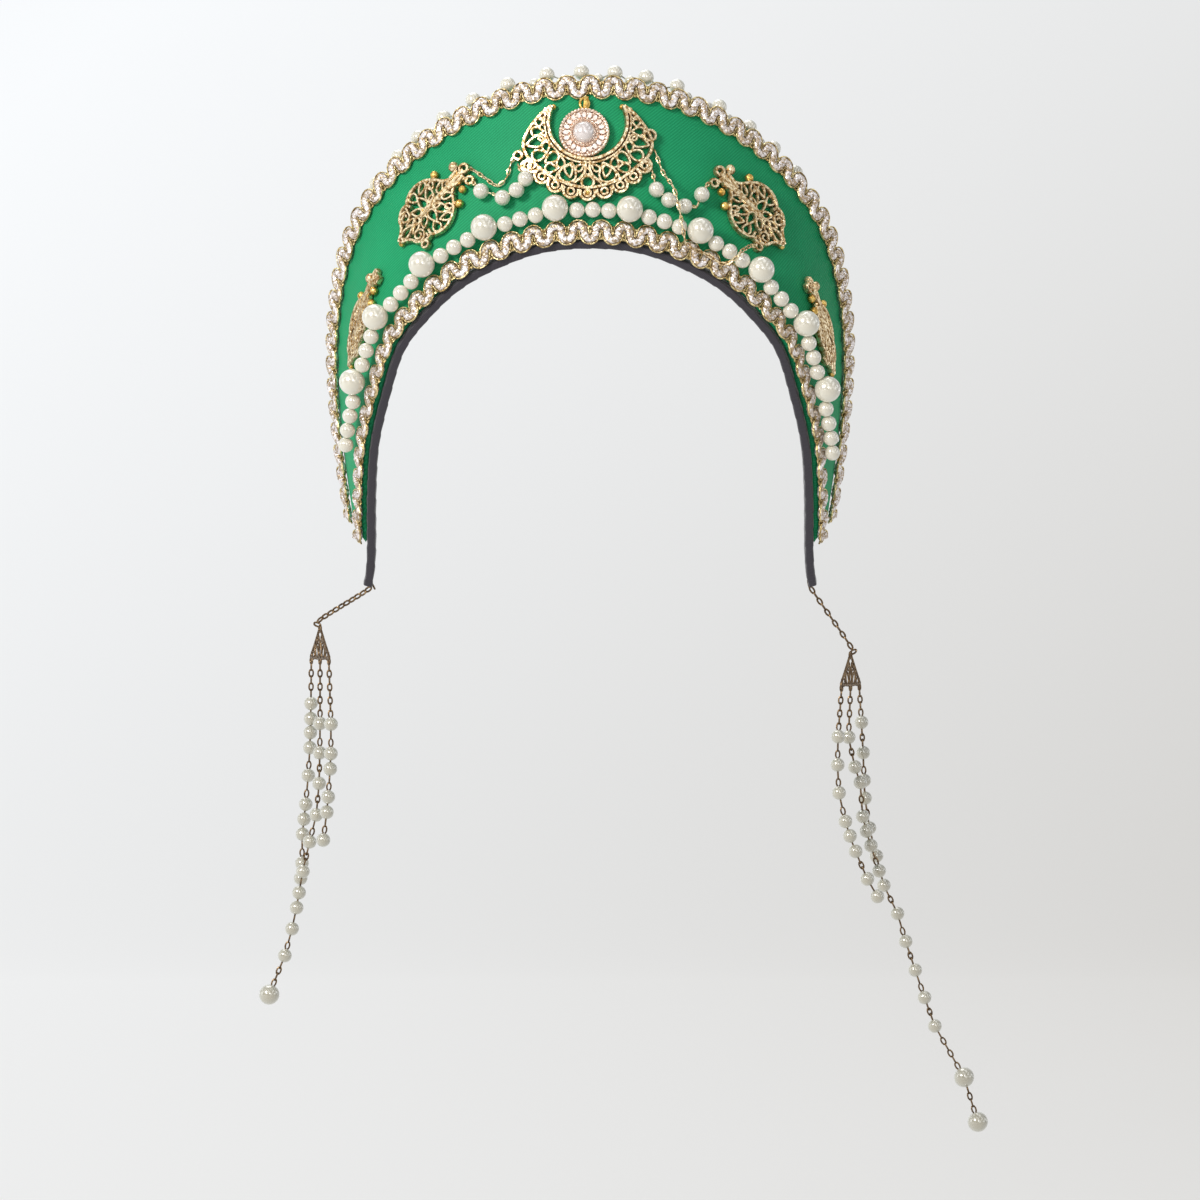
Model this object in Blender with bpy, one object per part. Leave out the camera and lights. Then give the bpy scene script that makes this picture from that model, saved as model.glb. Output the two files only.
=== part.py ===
"""Crescent headband in the manner of a french hood, with braid, pearls and filigree.

A stiff panel covered with green satin stands on a thin headband. Gimp braid borders its outer and
inner edges, strings of pearls follow both, and pierced brass plates lie on its front. From each end
of the headband a chain carries a small connector with three hanging strands.

Units are metres. +Z is up and the front looks towards -Y. The origin is the underside of the
headband at its highest point, where the piece sits on the head.
"""

import math
from collections import namedtuple

import bmesh
import bpy
from mathutils import Vector
from mathutils.bvhtree import BVHTree

MM = 0.001
GAP = 0.35 * MM                     # clearance between a piece and what carries it

PANEL_THICKNESS = 3.0 * MM
PANEL_MARGIN = 3.5 * MM             # from a braid's middle line to the panel's edge
PANEL_CROWN = 1.2 * MM              # how far the padded middle stands proud
PANEL_STEPS = 36
PANEL_ROWS = 4

BRAID_PITCH = 8.45 * MM
BRAID_THICKNESS = 1.7 * MM
BRAID_HALF_WIDE = 4.3 * MM          # to the crest of a scallop
BRAID_HALF_NARROW = 3.3 * MM        # to the valley between two scallops

BAND_WIDTH = 9.0 * MM
BAND_THICKNESS = 1.8 * MM
BAND_FORWARD = 1.6 * MM             # how far the band shows in front of the panel's back face
BAND_TILT = math.radians(22.3)      # the band's plane leans back by this much
BAND_STEPS = 30
BAND_REACH = 9.75                   # section number at which the band ends, past the panel's own end

WIRE = 0.6 * MM                     # radius of the wire between beads
LARGE_PEARL = 5.0 * MM              # radii
SMALL_PEARL = 3.0 * MM
LARGE_PEARL_UP = 8.8 * MM           # from the inner braid's middle line, at the middle of the row
SMALL_PEARL_UP = 7.6 * MM
PEARL_CLOSING_LEFT = 0.45 * MM      # how much closer to the braid the row runs at each section
PEARL_CLOSING_RIGHT = 0.8 * MM
SMALL_BETWEEN = 3
FIRST_LARGE_AT = -0.64              # section of the large pearl left of the middle
LARGE_LEFT = 5
LARGE_RIGHT = 5
LAST_SMALL_PEARLS = 4               # below the lowest large pearl
PEARL_SIDES = 9
PEARL_WALK = 0.004                  # steps in section number while looking for the next place
BEAD_SHOULDER = 0.64                # share of the radius at which a bead's outer rings lie
BEAD_NECK = WIRE * 1.3

RIM_PEARL = 3.0 * MM
RIM_PEARL_BACK = 2.3 * MM           # the rim string lies this far behind the panel's front
RIM_PEARL_REACH = 5.15              # section at which the rim string ends
RIM_ROUTE_STEPS = 12
RIM_TUBE_SPACING = 12.0 * MM

PLATE_THICKNESS = 1.0 * MM
PLATE_BAR = 1.2 * MM                # width of the bars between the holes
PLATE_LIFT = 0.55 * MM

FINE_CHAIN = 0.75 * MM              # outer radii of the chains and strands, and the spacing
END_CHAIN = 1.2 * MM                # of the points along their tubes
STRAND = 3.0 * MM
FINE_CHAIN_SPACING = 4.0 * MM
END_CHAIN_SPACING = 5.0 * MM
STRAND_SPACING = 12.0 * MM

WALK_STEPS = 400                    # fineness of the lines and of the surface that things lie on
CURVE_STEPS = 20
FRONT_COLUMNS = 240
FRONT_ROWS = 16
SECTION_STEP = 0.04
UP_STEP = 0.5 * MM
SIGHT_ROUNDS = 5
DROP_HEIGHT = 40.0 * MM             # from where a flat plate is dropped onto the panel
MESH_MERGE = 0.01 * MM

VIEW_DISTANCE = 1600.0              # sizes "as seen" are read off a front view from this far, mm
VIEW_X = 3.8
VIEW_Z = -132.7

# The panel's sections on its right half, in mm, from the middle down to the lower end. Each row
# is the point where a section crosses the inner braid's middle line, then the outer braid's.
Section = namedtuple("Section", "inner_x inner_y inner_z outer_x outer_y outer_z")
SECTIONS = [
    Section(0.0, -3.0, 6.1, 0.0, 5.0, 60.9),
    Section(18.8, -2.2, 4.5, 23.5, 8.0, 58.9),
    Section(35.8, 0.0, -0.8, 46.5, 17.2, 51.2),
    Section(51.8, 3.5, -9.0, 67.6, 29.0, 38.1),
    Section(64.8, 8.0, -20.2, 84.2, 40.0, 20.7),
    Section(75.7, 14.0, -33.8, 93.6, 49.0, 1.0),
    Section(82.2, 22.0, -52.4, 98.4, 57.0, -24.2),
    Section(86.8, 30.5, -71.2, 98.6, 61.0, -51.3),
    Section(88.4, 38.5, -90.2, 95.9, 61.5, -77.9),
    Section(88.8, 46.5, -109.4, 92.2, 58.0, -101.5),
]
LAST_SECTION = len(SECTIONS) - 1

# Ribs of the crescent plate, in degrees from straight down and mm from the centre of its opening
Rib = namedtuple("Rib", "angle inner outer")
CRESCENT_RIBS = [
    Rib(0, 14.0, 28.6),
    Rib(16, 14.0, 28.2),
    Rib(32, 14.0, 27.4),
    Rib(48, 14.0, 26.2),
    Rib(64, 14.0, 24.8),
    Rib(80, 14.0, 22.9),
    Rib(96, 14.0, 19.4),
    Rib(112, 14.0, 15.6),
]
CRESCENT_SCALLOP = 1.0              # mm that a scallop stands out between two ribs
CRESCENT_CENTRE = (-0.8, 47.0)      # as seen, mm

MEDALLION_CENTRE = (-2.1, 43.0)     # as seen, mm
MEDALLION_SIDES = 16
MEDALLION_RING_STEPS = 12
MEDALLION_RING_SIDES = 6
MEDALLION_RING_UP = 11.3 * MM
MEDALLION_RING_RADIUS = 2.3 * MM
MEDALLION_RING_WIRE = 0.6 * MM

# Turned outline of the medallion, in mm: distance from the axis and height above its back
Turn = namedtuple("Turn", "radius height")
MEDALLION_OUTLINE = [
    Turn(9.0, 0.0),
    Turn(9.5, 0.8),
    Turn(9.2, 2.0),
    Turn(8.2, 2.0),
    Turn(7.6, 1.4),
    Turn(4.9, 1.4),
    Turn(4.3, 2.6),
    Turn(3.9, 4.2),
    Turn(2.2, 5.6),
]
MEDALLION_TOP = 6.1

# Half-widths of the leaf and connector plates along their length, in mm
Width = namedtuple("Width", "along half")
LEAF_WIDTHS = [Width(0, 4.0), Width(9, 9.5), Width(19, 13.2), Width(28, 9.8), Width(38, 1.6)]
LEAF_COLUMNS = (-1.0, -0.5, 0.0, 0.5, 1.0)
CONNECTOR_WIDTHS = [Width(0, 1.8), Width(7, 7.0), Width(14, 12.5)]
CONNECTOR_COLUMNS = (-1.0, -0.33, 0.33, 1.0)

# Leaf plates: middle as seen in mm, and the turn from hanging straight down, in degrees
Leaf = namedtuple("Leaf", "name x z turn")
LEAVES = [
    Leaf("leaf_plate_left", -59.0, 14.0, -42.0),
    Leaf("leaf_plate_right", 60.5, 13.0, 42.0),
    Leaf("side_plate_left", -84.5, -27.5, -24.0),
    Leaf("side_plate_right", 85.5, -30.5, 24.0),
]

# Swags: each knot as seen in mm, its lift off the panel, and the bead's radius, 0 where bare
Knot = namedtuple("Knot", "x z lift bead")
SWAGS = {
    "swag_left": [
        Knot(-27.2, 31.5, 1.4, 0),
        Knot(-24.3, 26.2, 3.6, 3),
        Knot(-27.7, 21.9, 3.6, 3),
        Knot(-33.0, 19.0, 3.6, 3),
        Knot(-37.2, 20.6, 2.6, 0),
        Knot(-41.1, 21.5, 3.6, 3),
        Knot(-44.2, 24.9, 2.6, 0),
    ],
    "swag_right": [
        Knot(23.4, 29.5, 1.4, 0),
        Knot(25.1, 22.1, 3.6, 3),
        Knot(29.8, 18.1, 3.6, 3),
        Knot(35.7, 15.8, 3.6, 3),
        Knot(40.3, 15.5, 2.6, 0),
        Knot(42.2, 20.2, 3.6, 3),
        Knot(44.6, 24.5, 2.6, 0),
    ],
}

# Fine chains beside the swags: points as seen in mm, and the chain's lift off the panel
Hang = namedtuple("Hang", "x z lift")
DRAPE_CHAINS = {
    "drape_chain_left": [
        Hang(-26.4, 37.0, 1.2),
        Hang(-29.6, 32.2, 1.2),
        Hang(-31.5, 26.5, 1.3),
        Hang(-35.0, 23.6, 1.3),
        Hang(-39.0, 26.0, 1.3),
        Hang(-43.0, 28.8, 1.3),
    ],
    "drape_chain_right": [
        Hang(24.4, 37.0, 1.2),
        Hang(27.6, 28.5, 2.4),
        Hang(31.6, 22.6, 7.4),
        Hang(33.8, 14.2, 8.0),
        Hang(35.0, 7.8, 9.8),
        Hang(36.9, 1.2, 7.2),
        Hang(44.5, -2.6, 4.2),
        Hang(50.2, -6.0, 6.0),
        Hang(55.0, -3.8, 9.7),
        Hang(57.4, -1.0, 8.8),
        Hang(60.4, 0.8, 5.4),
    ],
}

# Strands below their connector: points as seen in mm, each with its real depth behind the origin
Drop = namedtuple("Drop", "x z depth")
STRANDS = {
    "strand_right_back": [
        Drop(103.0, -190.0, 74), Drop(103.7, -207.4, 75),
        Drop(105.4, -218.7, 76), Drop(108.0, -229.2, 77), Drop(110.8, -240.3, 77),
        Drop(115.9, -250.7, 78), Drop(119.1, -261.6, 78), Drop(126.1, -282.4, 79),
        Drop(130.0, -293.2, 79), Drop(141.0, -312.5, 80), Drop(147.4, -333.6, 80),
    ],
    "strand_right_middle": [
        Drop(97.5, -184.4, 63), Drop(99.9, -195.7, 64),
        Drop(102.2, -202.9, 65), Drop(102.8, -214.1, 66), Drop(105.6, -224.3, 67),
        Drop(109.6, -236.6, 68),
    ],
    "strand_right_front": [
        Drop(93.4, -188.0, 52), Drop(93.9, -205.5, 53),
        Drop(96.3, -216.2, 54), Drop(99.8, -226.6, 55), Drop(104.4, -237.5, 57),
        Drop(109.6, -246.5, 58),
    ],
    "strand_left_back": [
        Drop(-105.2, -171.9, 74), Drop(-105.6, -188.1, 74),
        Drop(-106.7, -205.1, 75), Drop(-108.4, -220.9, 76), Drop(-108.6, -231.9, 76),
        Drop(-109.3, -239.5, 76),
    ],
    "strand_left_middle": [
        Drop(-101.8, -185.5, 63), Drop(-102.4, -207.4, 64),
        Drop(-104.1, -217.9, 65), Drop(-107.1, -229.2, 66), Drop(-109.7, -243.0, 67),
        Drop(-111.2, -251.5, 67), Drop(-115.1, -266.9, 68), Drop(-122.4, -285.0, 68),
    ],
    "strand_left_front": [
        Drop(-97.6, -185.5, 52), Drop(-98.8, -208.1, 53),
        Drop(-101.0, -227.0, 54),
    ],
}

# Connectors: the foot's middle as seen in mm, its depth, and how far the plate turns from facing
# the side towards facing the front, in degrees
Connector = namedtuple("Connector", "side x z depth turn")
CONNECTORS = [
    Connector("left", -101.3, -156.6, 63, -22.0),
    Connector("right", 97.8, -166.6, 63, 22.0),
]
STRANDS_APART = 11.0 * MM           # between the strands along a connector's foot
STRAND_PLACES = {"back": 1.0, "middle": 0.0, "front": -1.0}
CHAIN_LEAD = 2.5 * MM               # straight stretch at each end of an end chain

# Surface colours as red, green, blue, then roughness and metallic
Finish = namedtuple("Finish", "red green blue roughness metallic")
FINISHES = {
    "green_satin": Finish(0.03, 0.42, 0.19, 0.55, 0.0),
    "dark_ribbon": Finish(0.025, 0.02, 0.03, 0.6, 0.0),
    "lurex_braid": Finish(0.68, 0.56, 0.42, 0.4, 0.3),
    "ivory_pearl": Finish(0.81, 0.78, 0.66, 0.2, 0.0),
    "pale_gold": Finish(0.83, 0.6, 0.3, 0.25, 1.0),
    "rose_gold": Finish(0.82, 0.55, 0.42, 0.25, 1.0),
    "dark_brass": Finish(0.35, 0.24, 0.12, 0.35, 1.0),
}


def clear_scene():
    """Remove whatever the file starts with."""
    for item in list(bpy.data.objects):
        bpy.data.objects.remove(item, do_unlink=True)


def make_material(name):
    """A Principled material with one finish from the table."""
    finish = FINISHES[name]
    material = bpy.data.materials.get(name) or bpy.data.materials.new(name)
    material.use_nodes = True
    shader = material.node_tree.nodes["Principled BSDF"]
    shader.inputs["Base Color"].default_value = (finish.red, finish.green, finish.blue, 1.0)
    shader.inputs["Roughness"].default_value = finish.roughness
    shader.inputs["Metallic"].default_value = finish.metallic
    return material


def add_object(name, data, material):
    """Link an object made from a mesh or curve and give it its material."""
    data.materials.append(make_material(material))
    item = bpy.data.objects.new(name, data)
    bpy.context.scene.collection.objects.link(item)
    return item


def finish_mesh(name, bm, material, smooth_angle=40.0):
    """Turn a bmesh into a named object, its faces pointing out."""
    bmesh.ops.recalc_face_normals(bm, faces=bm.faces)
    if bm.calc_volume(signed=True) < 0.0:
        bmesh.ops.reverse_faces(bm, faces=bm.faces)
    mesh = bpy.data.meshes.new(name)
    bm.to_mesh(mesh)
    bm.free()
    mesh.shade_smooth()
    mesh.set_sharp_from_angle(angle=math.radians(smooth_angle))
    return add_object(name, mesh, material)


def catmull_rom(before, start, end, after, share):
    """Point on the smooth curve between start and end."""
    return 0.5 * (
        2.0 * start
        + (end - before) * share
        + (2.0 * before - 5.0 * start + 4.0 * end - after) * share ** 2
        + (3.0 * start - before - 3.0 * end + after) * share ** 3
    )


def section_ends(index):
    """Inner and outer point of a section by whole index, mirrored left and carried on past the end."""
    side = -1.0 if index < 0 else 1.0
    index = abs(index)
    if index > LAST_SECTION:
        last = section_ends(LAST_SECTION)
        before = section_ends(LAST_SECTION - 1)
        ends = tuple(2.0 * near - far for near, far in zip(last, before))
    else:
        row = SECTIONS[index]
        ends = (
            Vector((row.inner_x, row.inner_y, row.inner_z)) * MM,
            Vector((row.outer_x, row.outer_y, row.outer_z)) * MM,
        )
    return tuple(Vector((side * point.x, point.y, point.z)) for point in ends)


def braid_lines(u):
    """Points of the inner and outer braid's middle lines at section u, from -9 to 9."""
    start = min(max(math.floor(u), -LAST_SECTION), LAST_SECTION - 1)
    rows = [section_ends(start + step) for step in (-1, 0, 1, 2)]
    return tuple(catmull_rom(*[row[end] for row in rows], u - start) for end in (0, 1))


def panel_width(u):
    """Distance between the two middle lines at section u."""
    inner, outer = braid_lines(u)
    return (outer - inner).length


def panel_point(u, up):
    """Point of the panel's front, at a distance up from the inner braid's middle line."""
    inner, outer = braid_lines(u)
    width = (outer - inner).length
    rise = (outer - inner) / width
    along = braid_lines(u + SECTION_STEP)[0] - braid_lines(u - SECTION_STEP)[0]
    share = min(max(up / width, 0.0), 1.0)
    crown = PANEL_CROWN * 4.0 * share * (1.0 - share)
    return inner + rise * up + along.cross(rise).normalized() * crown


def panel_normal(u, up):
    """Direction that the panel's front faces."""
    along = panel_point(u + SECTION_STEP, up) - panel_point(u - SECTION_STEP, up)
    rise = panel_point(u, up + UP_STEP) - panel_point(u, up - UP_STEP)
    return along.cross(rise).normalized()


def on_panel(u, up, lift):
    """Point lifted off the panel's front."""
    return panel_point(u, up) + panel_normal(u, up) * lift


def even_places(points, count):
    """Cell and share within it of places that divide a row of points into equal lengths."""
    lengths = [0.0]
    for near, far in zip(points, points[1:]):
        lengths.append(lengths[-1] + (far - near).length)
    places = []
    cell = 0
    for step in range(count + 1):
        wanted = lengths[-1] * step / count
        while cell < len(points) - 2 and lengths[cell + 1] < wanted:
            cell += 1
        places.append((cell, (wanted - lengths[cell]) / (lengths[cell + 1] - lengths[cell])))
    return places


def route_length(points):
    """Length of a row of points."""
    return sum((far - near).length for near, far in zip(points, points[1:]))


def section_walk(up_of, reach):
    """Close section numbers from one side to the other, and the line up_of(u) over them."""
    walk = [reach * (2.0 * step / WALK_STEPS - 1.0) for step in range(WALK_STEPS + 1)]
    return walk, [panel_point(u, up_of(u)) for u in walk]


def even_sections(up_of, reach, count):
    """Section numbers that divide the line up_of(u) into equal lengths."""
    walk, points = section_walk(up_of, reach)
    return [
        walk[cell] + (walk[cell + 1] - walk[cell]) * share
        for cell, share in even_places(points, count)
    ]


def make_front():
    """Fine copy of the panel's front, to drop things onto."""
    columns = FRONT_COLUMNS
    rows = FRONT_ROWS
    points = []
    for column in range(columns + 1):
        u = -LAST_SECTION + 2.0 * LAST_SECTION * column / columns
        low = -PANEL_MARGIN
        high = panel_width(u) + PANEL_MARGIN
        points += [panel_point(u, low + (high - low) * row / rows) for row in range(rows + 1)]
    faces = []
    for column in range(columns):
        for row in range(rows):
            corner = column * (rows + 1) + row
            faces.append((corner, corner + rows + 1, corner + rows + 2, corner + 1))
    return BVHTree.FromPolygons(points, faces)


def view_point():
    """The eye of the front view."""
    return Vector((VIEW_X, -VIEW_DISTANCE, VIEW_Z)) * MM


def seen_on_panel(front, x, z):
    """Point and normal of the panel's front where a front view shows x, z in mm."""
    eye = view_point()
    hit, normal, _, _ = front.ray_cast(eye, (Vector((x, 0.0, z)) * MM - eye).normalized())
    if normal.y > 0.0:
        normal = -normal
    return hit, normal


def lifted_as_seen(front, x, z, lift):
    """Point lifted off the panel where a front view shows x, z in mm, and the panel's normal there."""
    eye = view_point()
    aim_x = x
    aim_z = z
    for _ in range(SIGHT_ROUNDS):
        base, normal = seen_on_panel(front, aim_x, aim_z)
        point = base + normal * lift
        seen = eye + (point - eye) * (eye.y / (eye.y - point.y))
        aim_x += x - seen.x / MM
        aim_z += z - seen.z / MM
    return point, normal


def seen_at_depth(x, z, depth):
    """Point that a front view shows at x, z in mm, at a depth behind the origin in mm."""
    eye = view_point()
    return eye + (Vector((x, 0.0, z)) * MM - eye) * (depth + VIEW_DISTANCE) / VIEW_DISTANCE


def pull_ring(bm, ring, points):
    """Extrude a ring of edges and set the new ring on the points."""
    count = len(ring)
    edges = [bm.edges.get((ring[i], ring[(i + 1) % count])) for i in range(count)]
    made = bmesh.ops.extrude_edge_only(bm, edges=edges)
    fresh = {item for item in made["geom"] if isinstance(item, bmesh.types.BMVert)}
    pulled = []
    for vert, point in zip(ring, points):
        other = next(e.other_vert(vert) for e in vert.link_edges if e.other_vert(vert) in fresh)
        other.co = point
        pulled.append(other)
    return pulled


def loft(rings):
    """Closed solid pulled through a row of rings with equal counts of points."""
    bm = bmesh.new()
    ring = [bm.verts.new(point) for point in rings[0]]
    for i in range(len(ring)):
        bm.edges.new((ring[i], ring[(i + 1) % len(ring)]))
    bm.faces.new(ring)
    for points in rings[1:]:
        ring = pull_ring(bm, ring, points)
    bm.faces.new(list(reversed(ring)))
    return bm


def round_ring(centre, along, up, radius, sides):
    """Points round an axis."""
    side = along.cross(up).normalized()
    top = side.cross(along).normalized()
    turns = [2.0 * math.pi * step / sides for step in range(sides)]
    return [centre + (side * math.cos(t) + top * math.sin(t)) * radius for t in turns]


def smooth_route(points, spacing):
    """Points about a spacing apart on the smooth curve through a route's own points."""
    ends = [2.0 * points[0] - points[1]] + points + [2.0 * points[-1] - points[-2]]
    fine = []
    for i in range(1, len(ends) - 2):
        fine += [catmull_rom(*ends[i - 1:i + 3], step / CURVE_STEPS) for step in range(CURVE_STEPS)]
    fine.append(points[-1])
    count = max(2, round(route_length(fine) / spacing))
    return [fine[cell].lerp(fine[cell + 1], share) for cell, share in even_places(fine, count)]


def tube(name, points, radius, spacing, material):
    """Round tube along a route, as a curve with a bevel and filled caps."""
    route = smooth_route(points, spacing)
    curve = bpy.data.curves.new(name, "CURVE")
    curve.dimensions = "3D"
    curve.bevel_depth = radius
    curve.bevel_resolution = 2
    curve.use_fill_caps = True
    spline = curve.splines.new("POLY")
    spline.points.add(len(route) - 1)
    for knot, point in zip(spline.points, route):
        knot.co = (*point, 1.0)
    return add_object(name, curve, material)


def build_panel():
    """Padded crescent: a grid laid on the front surface and pulled back to its thickness."""
    sections = even_sections(lambda u: 0.5 * panel_width(u), LAST_SECTION, PANEL_STEPS)
    bm = bmesh.new()
    bmesh.ops.create_grid(bm, x_segments=PANEL_STEPS, y_segments=PANEL_ROWS, size=1.0)
    made = bmesh.ops.extrude_face_region(bm, geom=list(bm.faces))
    backs = [item for item in made["geom"] if isinstance(item, bmesh.types.BMVert)]
    bmesh.ops.translate(bm, vec=(0.0, 0.0, -PANEL_THICKNESS), verts=backs)
    for vert in bm.verts:
        u = sections[round((vert.co.x + 1.0) / 2.0 * PANEL_STEPS)]
        high = panel_width(u) + PANEL_MARGIN
        up = -PANEL_MARGIN + (high + PANEL_MARGIN) * (vert.co.y + 1.0) / 2.0
        vert.co = on_panel(u, up, vert.co.z)
    return finish_mesh("hood_panel", bm, "green_satin")


def band_ring(u):
    """Corners of the headband's section under the panel's inner edge, and the way it runs there."""
    axis = Vector((0.0, math.cos(BAND_TILT), math.sin(BAND_TILT)))
    corner = panel_point(u, -PANEL_MARGIN) - panel_normal(u, -PANEL_MARGIN) * PANEL_THICKNESS
    ahead = panel_point(u + SECTION_STEP, -PANEL_MARGIN)
    along = ahead - panel_point(u - SECTION_STEP, -PANEL_MARGIN)
    inward = axis.cross(along).normalized()
    top = corner + inward * GAP
    low = top + inward * BAND_THICKNESS
    front = -axis * (BAND_FORWARD + PANEL_THICKNESS * 0.5)
    back = front + axis * BAND_WIDTH
    return [low + front, low + back, top + back, top + front], along.normalized()


def build_headband():
    """Flat band under the panel's inner edge, carried on a little past both of its ends."""
    sections = even_sections(lambda u: 0.0, BAND_REACH, BAND_STEPS)
    rings = [band_ring(u)[0] for u in sections]
    return finish_mesh("headband", loft(rings), "dark_ribbon")


def build_braid(name, up_of):
    """Flat braid whose two edges swing in and out by turns, two stations for each scallop."""
    length = route_length(section_walk(up_of, LAST_SECTION)[1])
    stations = 2 * round(length / BRAID_PITCH)
    rings = []
    for step, u in enumerate(even_sections(up_of, LAST_SECTION, stations)):
        middle = up_of(u)
        wide_up = step % 2 == 0
        upper = middle + (BRAID_HALF_WIDE if wide_up else BRAID_HALF_NARROW)
        lower = middle - (BRAID_HALF_NARROW if wide_up else BRAID_HALF_WIDE)
        rings.append([
            on_panel(u, lower, GAP),
            on_panel(u, upper, GAP),
            on_panel(u, upper, GAP + BRAID_THICKNESS),
            on_panel(u, lower, GAP + BRAID_THICKNESS),
        ])
    return finish_mesh(name, loft(rings), "lurex_braid")


def bead_rings(knots, sides):
    """Rings of a string fused from beads: knots are (centre, normal, radius of bead or wire)."""
    rings = []
    last = len(knots) - 1
    for i, (centre, normal, radius) in enumerate(knots):
        before = knots[max(i - 1, 0)]
        after = knots[min(i + 1, last)]
        along = (after[0] - before[0]).normalized()
        is_bead = radius > WIRE
        if i > 0 and (is_bead or before[2] > WIRE):
            share = (before[2] if before[2] > WIRE else 0.0)
            reach = (centre - before[0]).length
            part = share / reach if not is_bead else (reach - radius + share) / (2.0 * reach)
            neck = before[0].lerp(centre, part)
            rings.append(round_ring(neck, (centre - before[0]).normalized(), normal, BEAD_NECK, sides))
        if is_bead:
            for offset in (-BEAD_SHOULDER, 0.0, BEAD_SHOULDER):
                size = radius * math.sqrt(1.0 - offset ** 2)
                rings.append(round_ring(centre + along * radius * offset, along, normal, size, sides))
            if i in (0, last):
                end = centre + along * radius * (0.97 if i == last else -0.97)
                cap = round_ring(end, along, normal, BEAD_NECK, sides)
                rings.insert(len(rings) if i == last else 0, cap)
        else:
            rings.append(round_ring(centre, along, normal, WIRE, sides))
    return rings


def pearl_knot(u, radius):
    """Centre of a pearl of the row, lying on the panel and clear of the inner braid's edge."""
    start = LARGE_PEARL_UP if radius == LARGE_PEARL else SMALL_PEARL_UP
    up = start - (PEARL_CLOSING_RIGHT * u if u > 0.0 else -PEARL_CLOSING_LEFT * u)
    reach = radius + GAP
    beside = max(up - BRAID_HALF_WIDE, 0.0)
    lift = reach
    if beside < reach:
        lift = max(reach, GAP + BRAID_THICKNESS + math.sqrt(reach ** 2 - beside ** 2))
    return on_panel(u, up, lift), panel_normal(u, up), radius


def pearl_run(u, centre, last, direction, radii):
    """Knots of pearls that touch one after another, starting beside a pearl already placed."""
    knots = []
    for radius in radii:
        knot = (centre, None, last)
        while (knot[0] - centre).length < last + radius:
            u += direction * PEARL_WALK
            knot = pearl_knot(u, radius)
        centre = knot[0]
        last = radius
        knots.append(knot)
    return knots


def build_pearl_rows():
    """The string above the inner braid, in two lengths that meet beside the first large pearl."""
    group = [SMALL_PEARL] * SMALL_BETWEEN + [LARGE_PEARL]
    tail = [SMALL_PEARL] * LAST_SMALL_PEARLS
    first = pearl_knot(FIRST_LARGE_AT, LARGE_PEARL)
    left = pearl_run(FIRST_LARGE_AT, first[0], LARGE_PEARL, -1.0, group * (LARGE_LEFT - 1) + tail)
    right = pearl_run(FIRST_LARGE_AT, first[0], LARGE_PEARL + GAP, 1.0, group * LARGE_RIGHT + tail)
    for name, knots in (("pearl_row_left", [first] + left), ("pearl_row_right", right)):
        finish_mesh(name, loft(bead_rings(knots, PEARL_SIDES)), "ivory_pearl", 80.0)


def build_rim_pearls():
    """Plain tube for the string of pearls that lies on the panel's outer rim."""
    route = []
    for step in range(-RIM_ROUTE_STEPS, RIM_ROUTE_STEPS + 1):
        u = RIM_PEARL_REACH * step / RIM_ROUTE_STEPS
        inner, outer = braid_lines(u)
        up = panel_width(u) + PANEL_MARGIN
        rise = (outer - inner).normalized() * (GAP + RIM_PEARL)
        route.append(panel_point(u, up) + rise - panel_normal(u, up) * RIM_PEARL_BACK)
    tube("rim_pearls", route, RIM_PEARL, RIM_TUBE_SPACING, "ivory_pearl")


def pierced_plate(name, cells, place, material, bar=PLATE_BAR, thickness=PLATE_THICKNESS):
    """Flat cells in mm, each inset and cut out, given a thickness and laid in place."""
    bm = bmesh.new()
    for cell in cells:
        bm.faces.new([bm.verts.new((x * MM, y * MM, 0.0)) for x, y in cell])
    bmesh.ops.remove_doubles(bm, verts=bm.verts, dist=MESH_MERGE)
    holes = list(bm.faces)
    bmesh.ops.inset_individual(bm, faces=holes, thickness=0.5 * bar, use_even_offset=True)
    bmesh.ops.delete(bm, geom=holes, context="FACES")
    made = bmesh.ops.extrude_face_region(bm, geom=list(bm.faces))
    lifted = [item for item in made["geom"] if isinstance(item, bmesh.types.BMVert)]
    bmesh.ops.translate(bm, vec=(0.0, 0.0, thickness), verts=lifted)
    for vert in bm.verts:
        vert.co = place(vert.co)
    return finish_mesh(name, bm, material, 30.0)


def draped(front, x, z, turn=0.0):
    """Placement that drops a flat plate onto the panel's front where a front view shows x, z."""
    middle, facing = seen_on_panel(front, x, z)
    up = (Vector((0.0, 0.0, 1.0)) - facing * facing.z).normalized()
    across = up.cross(facing)
    turn = math.radians(turn)

    def place(flat):
        a = flat.x * math.cos(turn) - flat.y * math.sin(turn)
        b = flat.x * math.sin(turn) + flat.y * math.cos(turn)
        start = middle + across * a + up * b + facing * DROP_HEIGHT
        hit, normal, _, _ = front.ray_cast(start, -facing)
        if normal.dot(facing) < 0.0:
            normal = -normal
        return hit + normal * (PLATE_LIFT + flat.z)

    return place


def grid_cells(widths, columns):
    """Four-sided cells of a plate that hangs down from its first row, its middle at the origin."""
    half_length = 0.5 * widths[-1].along
    corners = [
        [(row.half * share, half_length - row.along) for share in columns] for row in widths
    ]
    cells = []
    for upper, lower in zip(corners, corners[1:]):
        for i in range(len(columns) - 1):
            cells.append((upper[i], lower[i], lower[i + 1], upper[i + 1]))
    return cells


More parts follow.
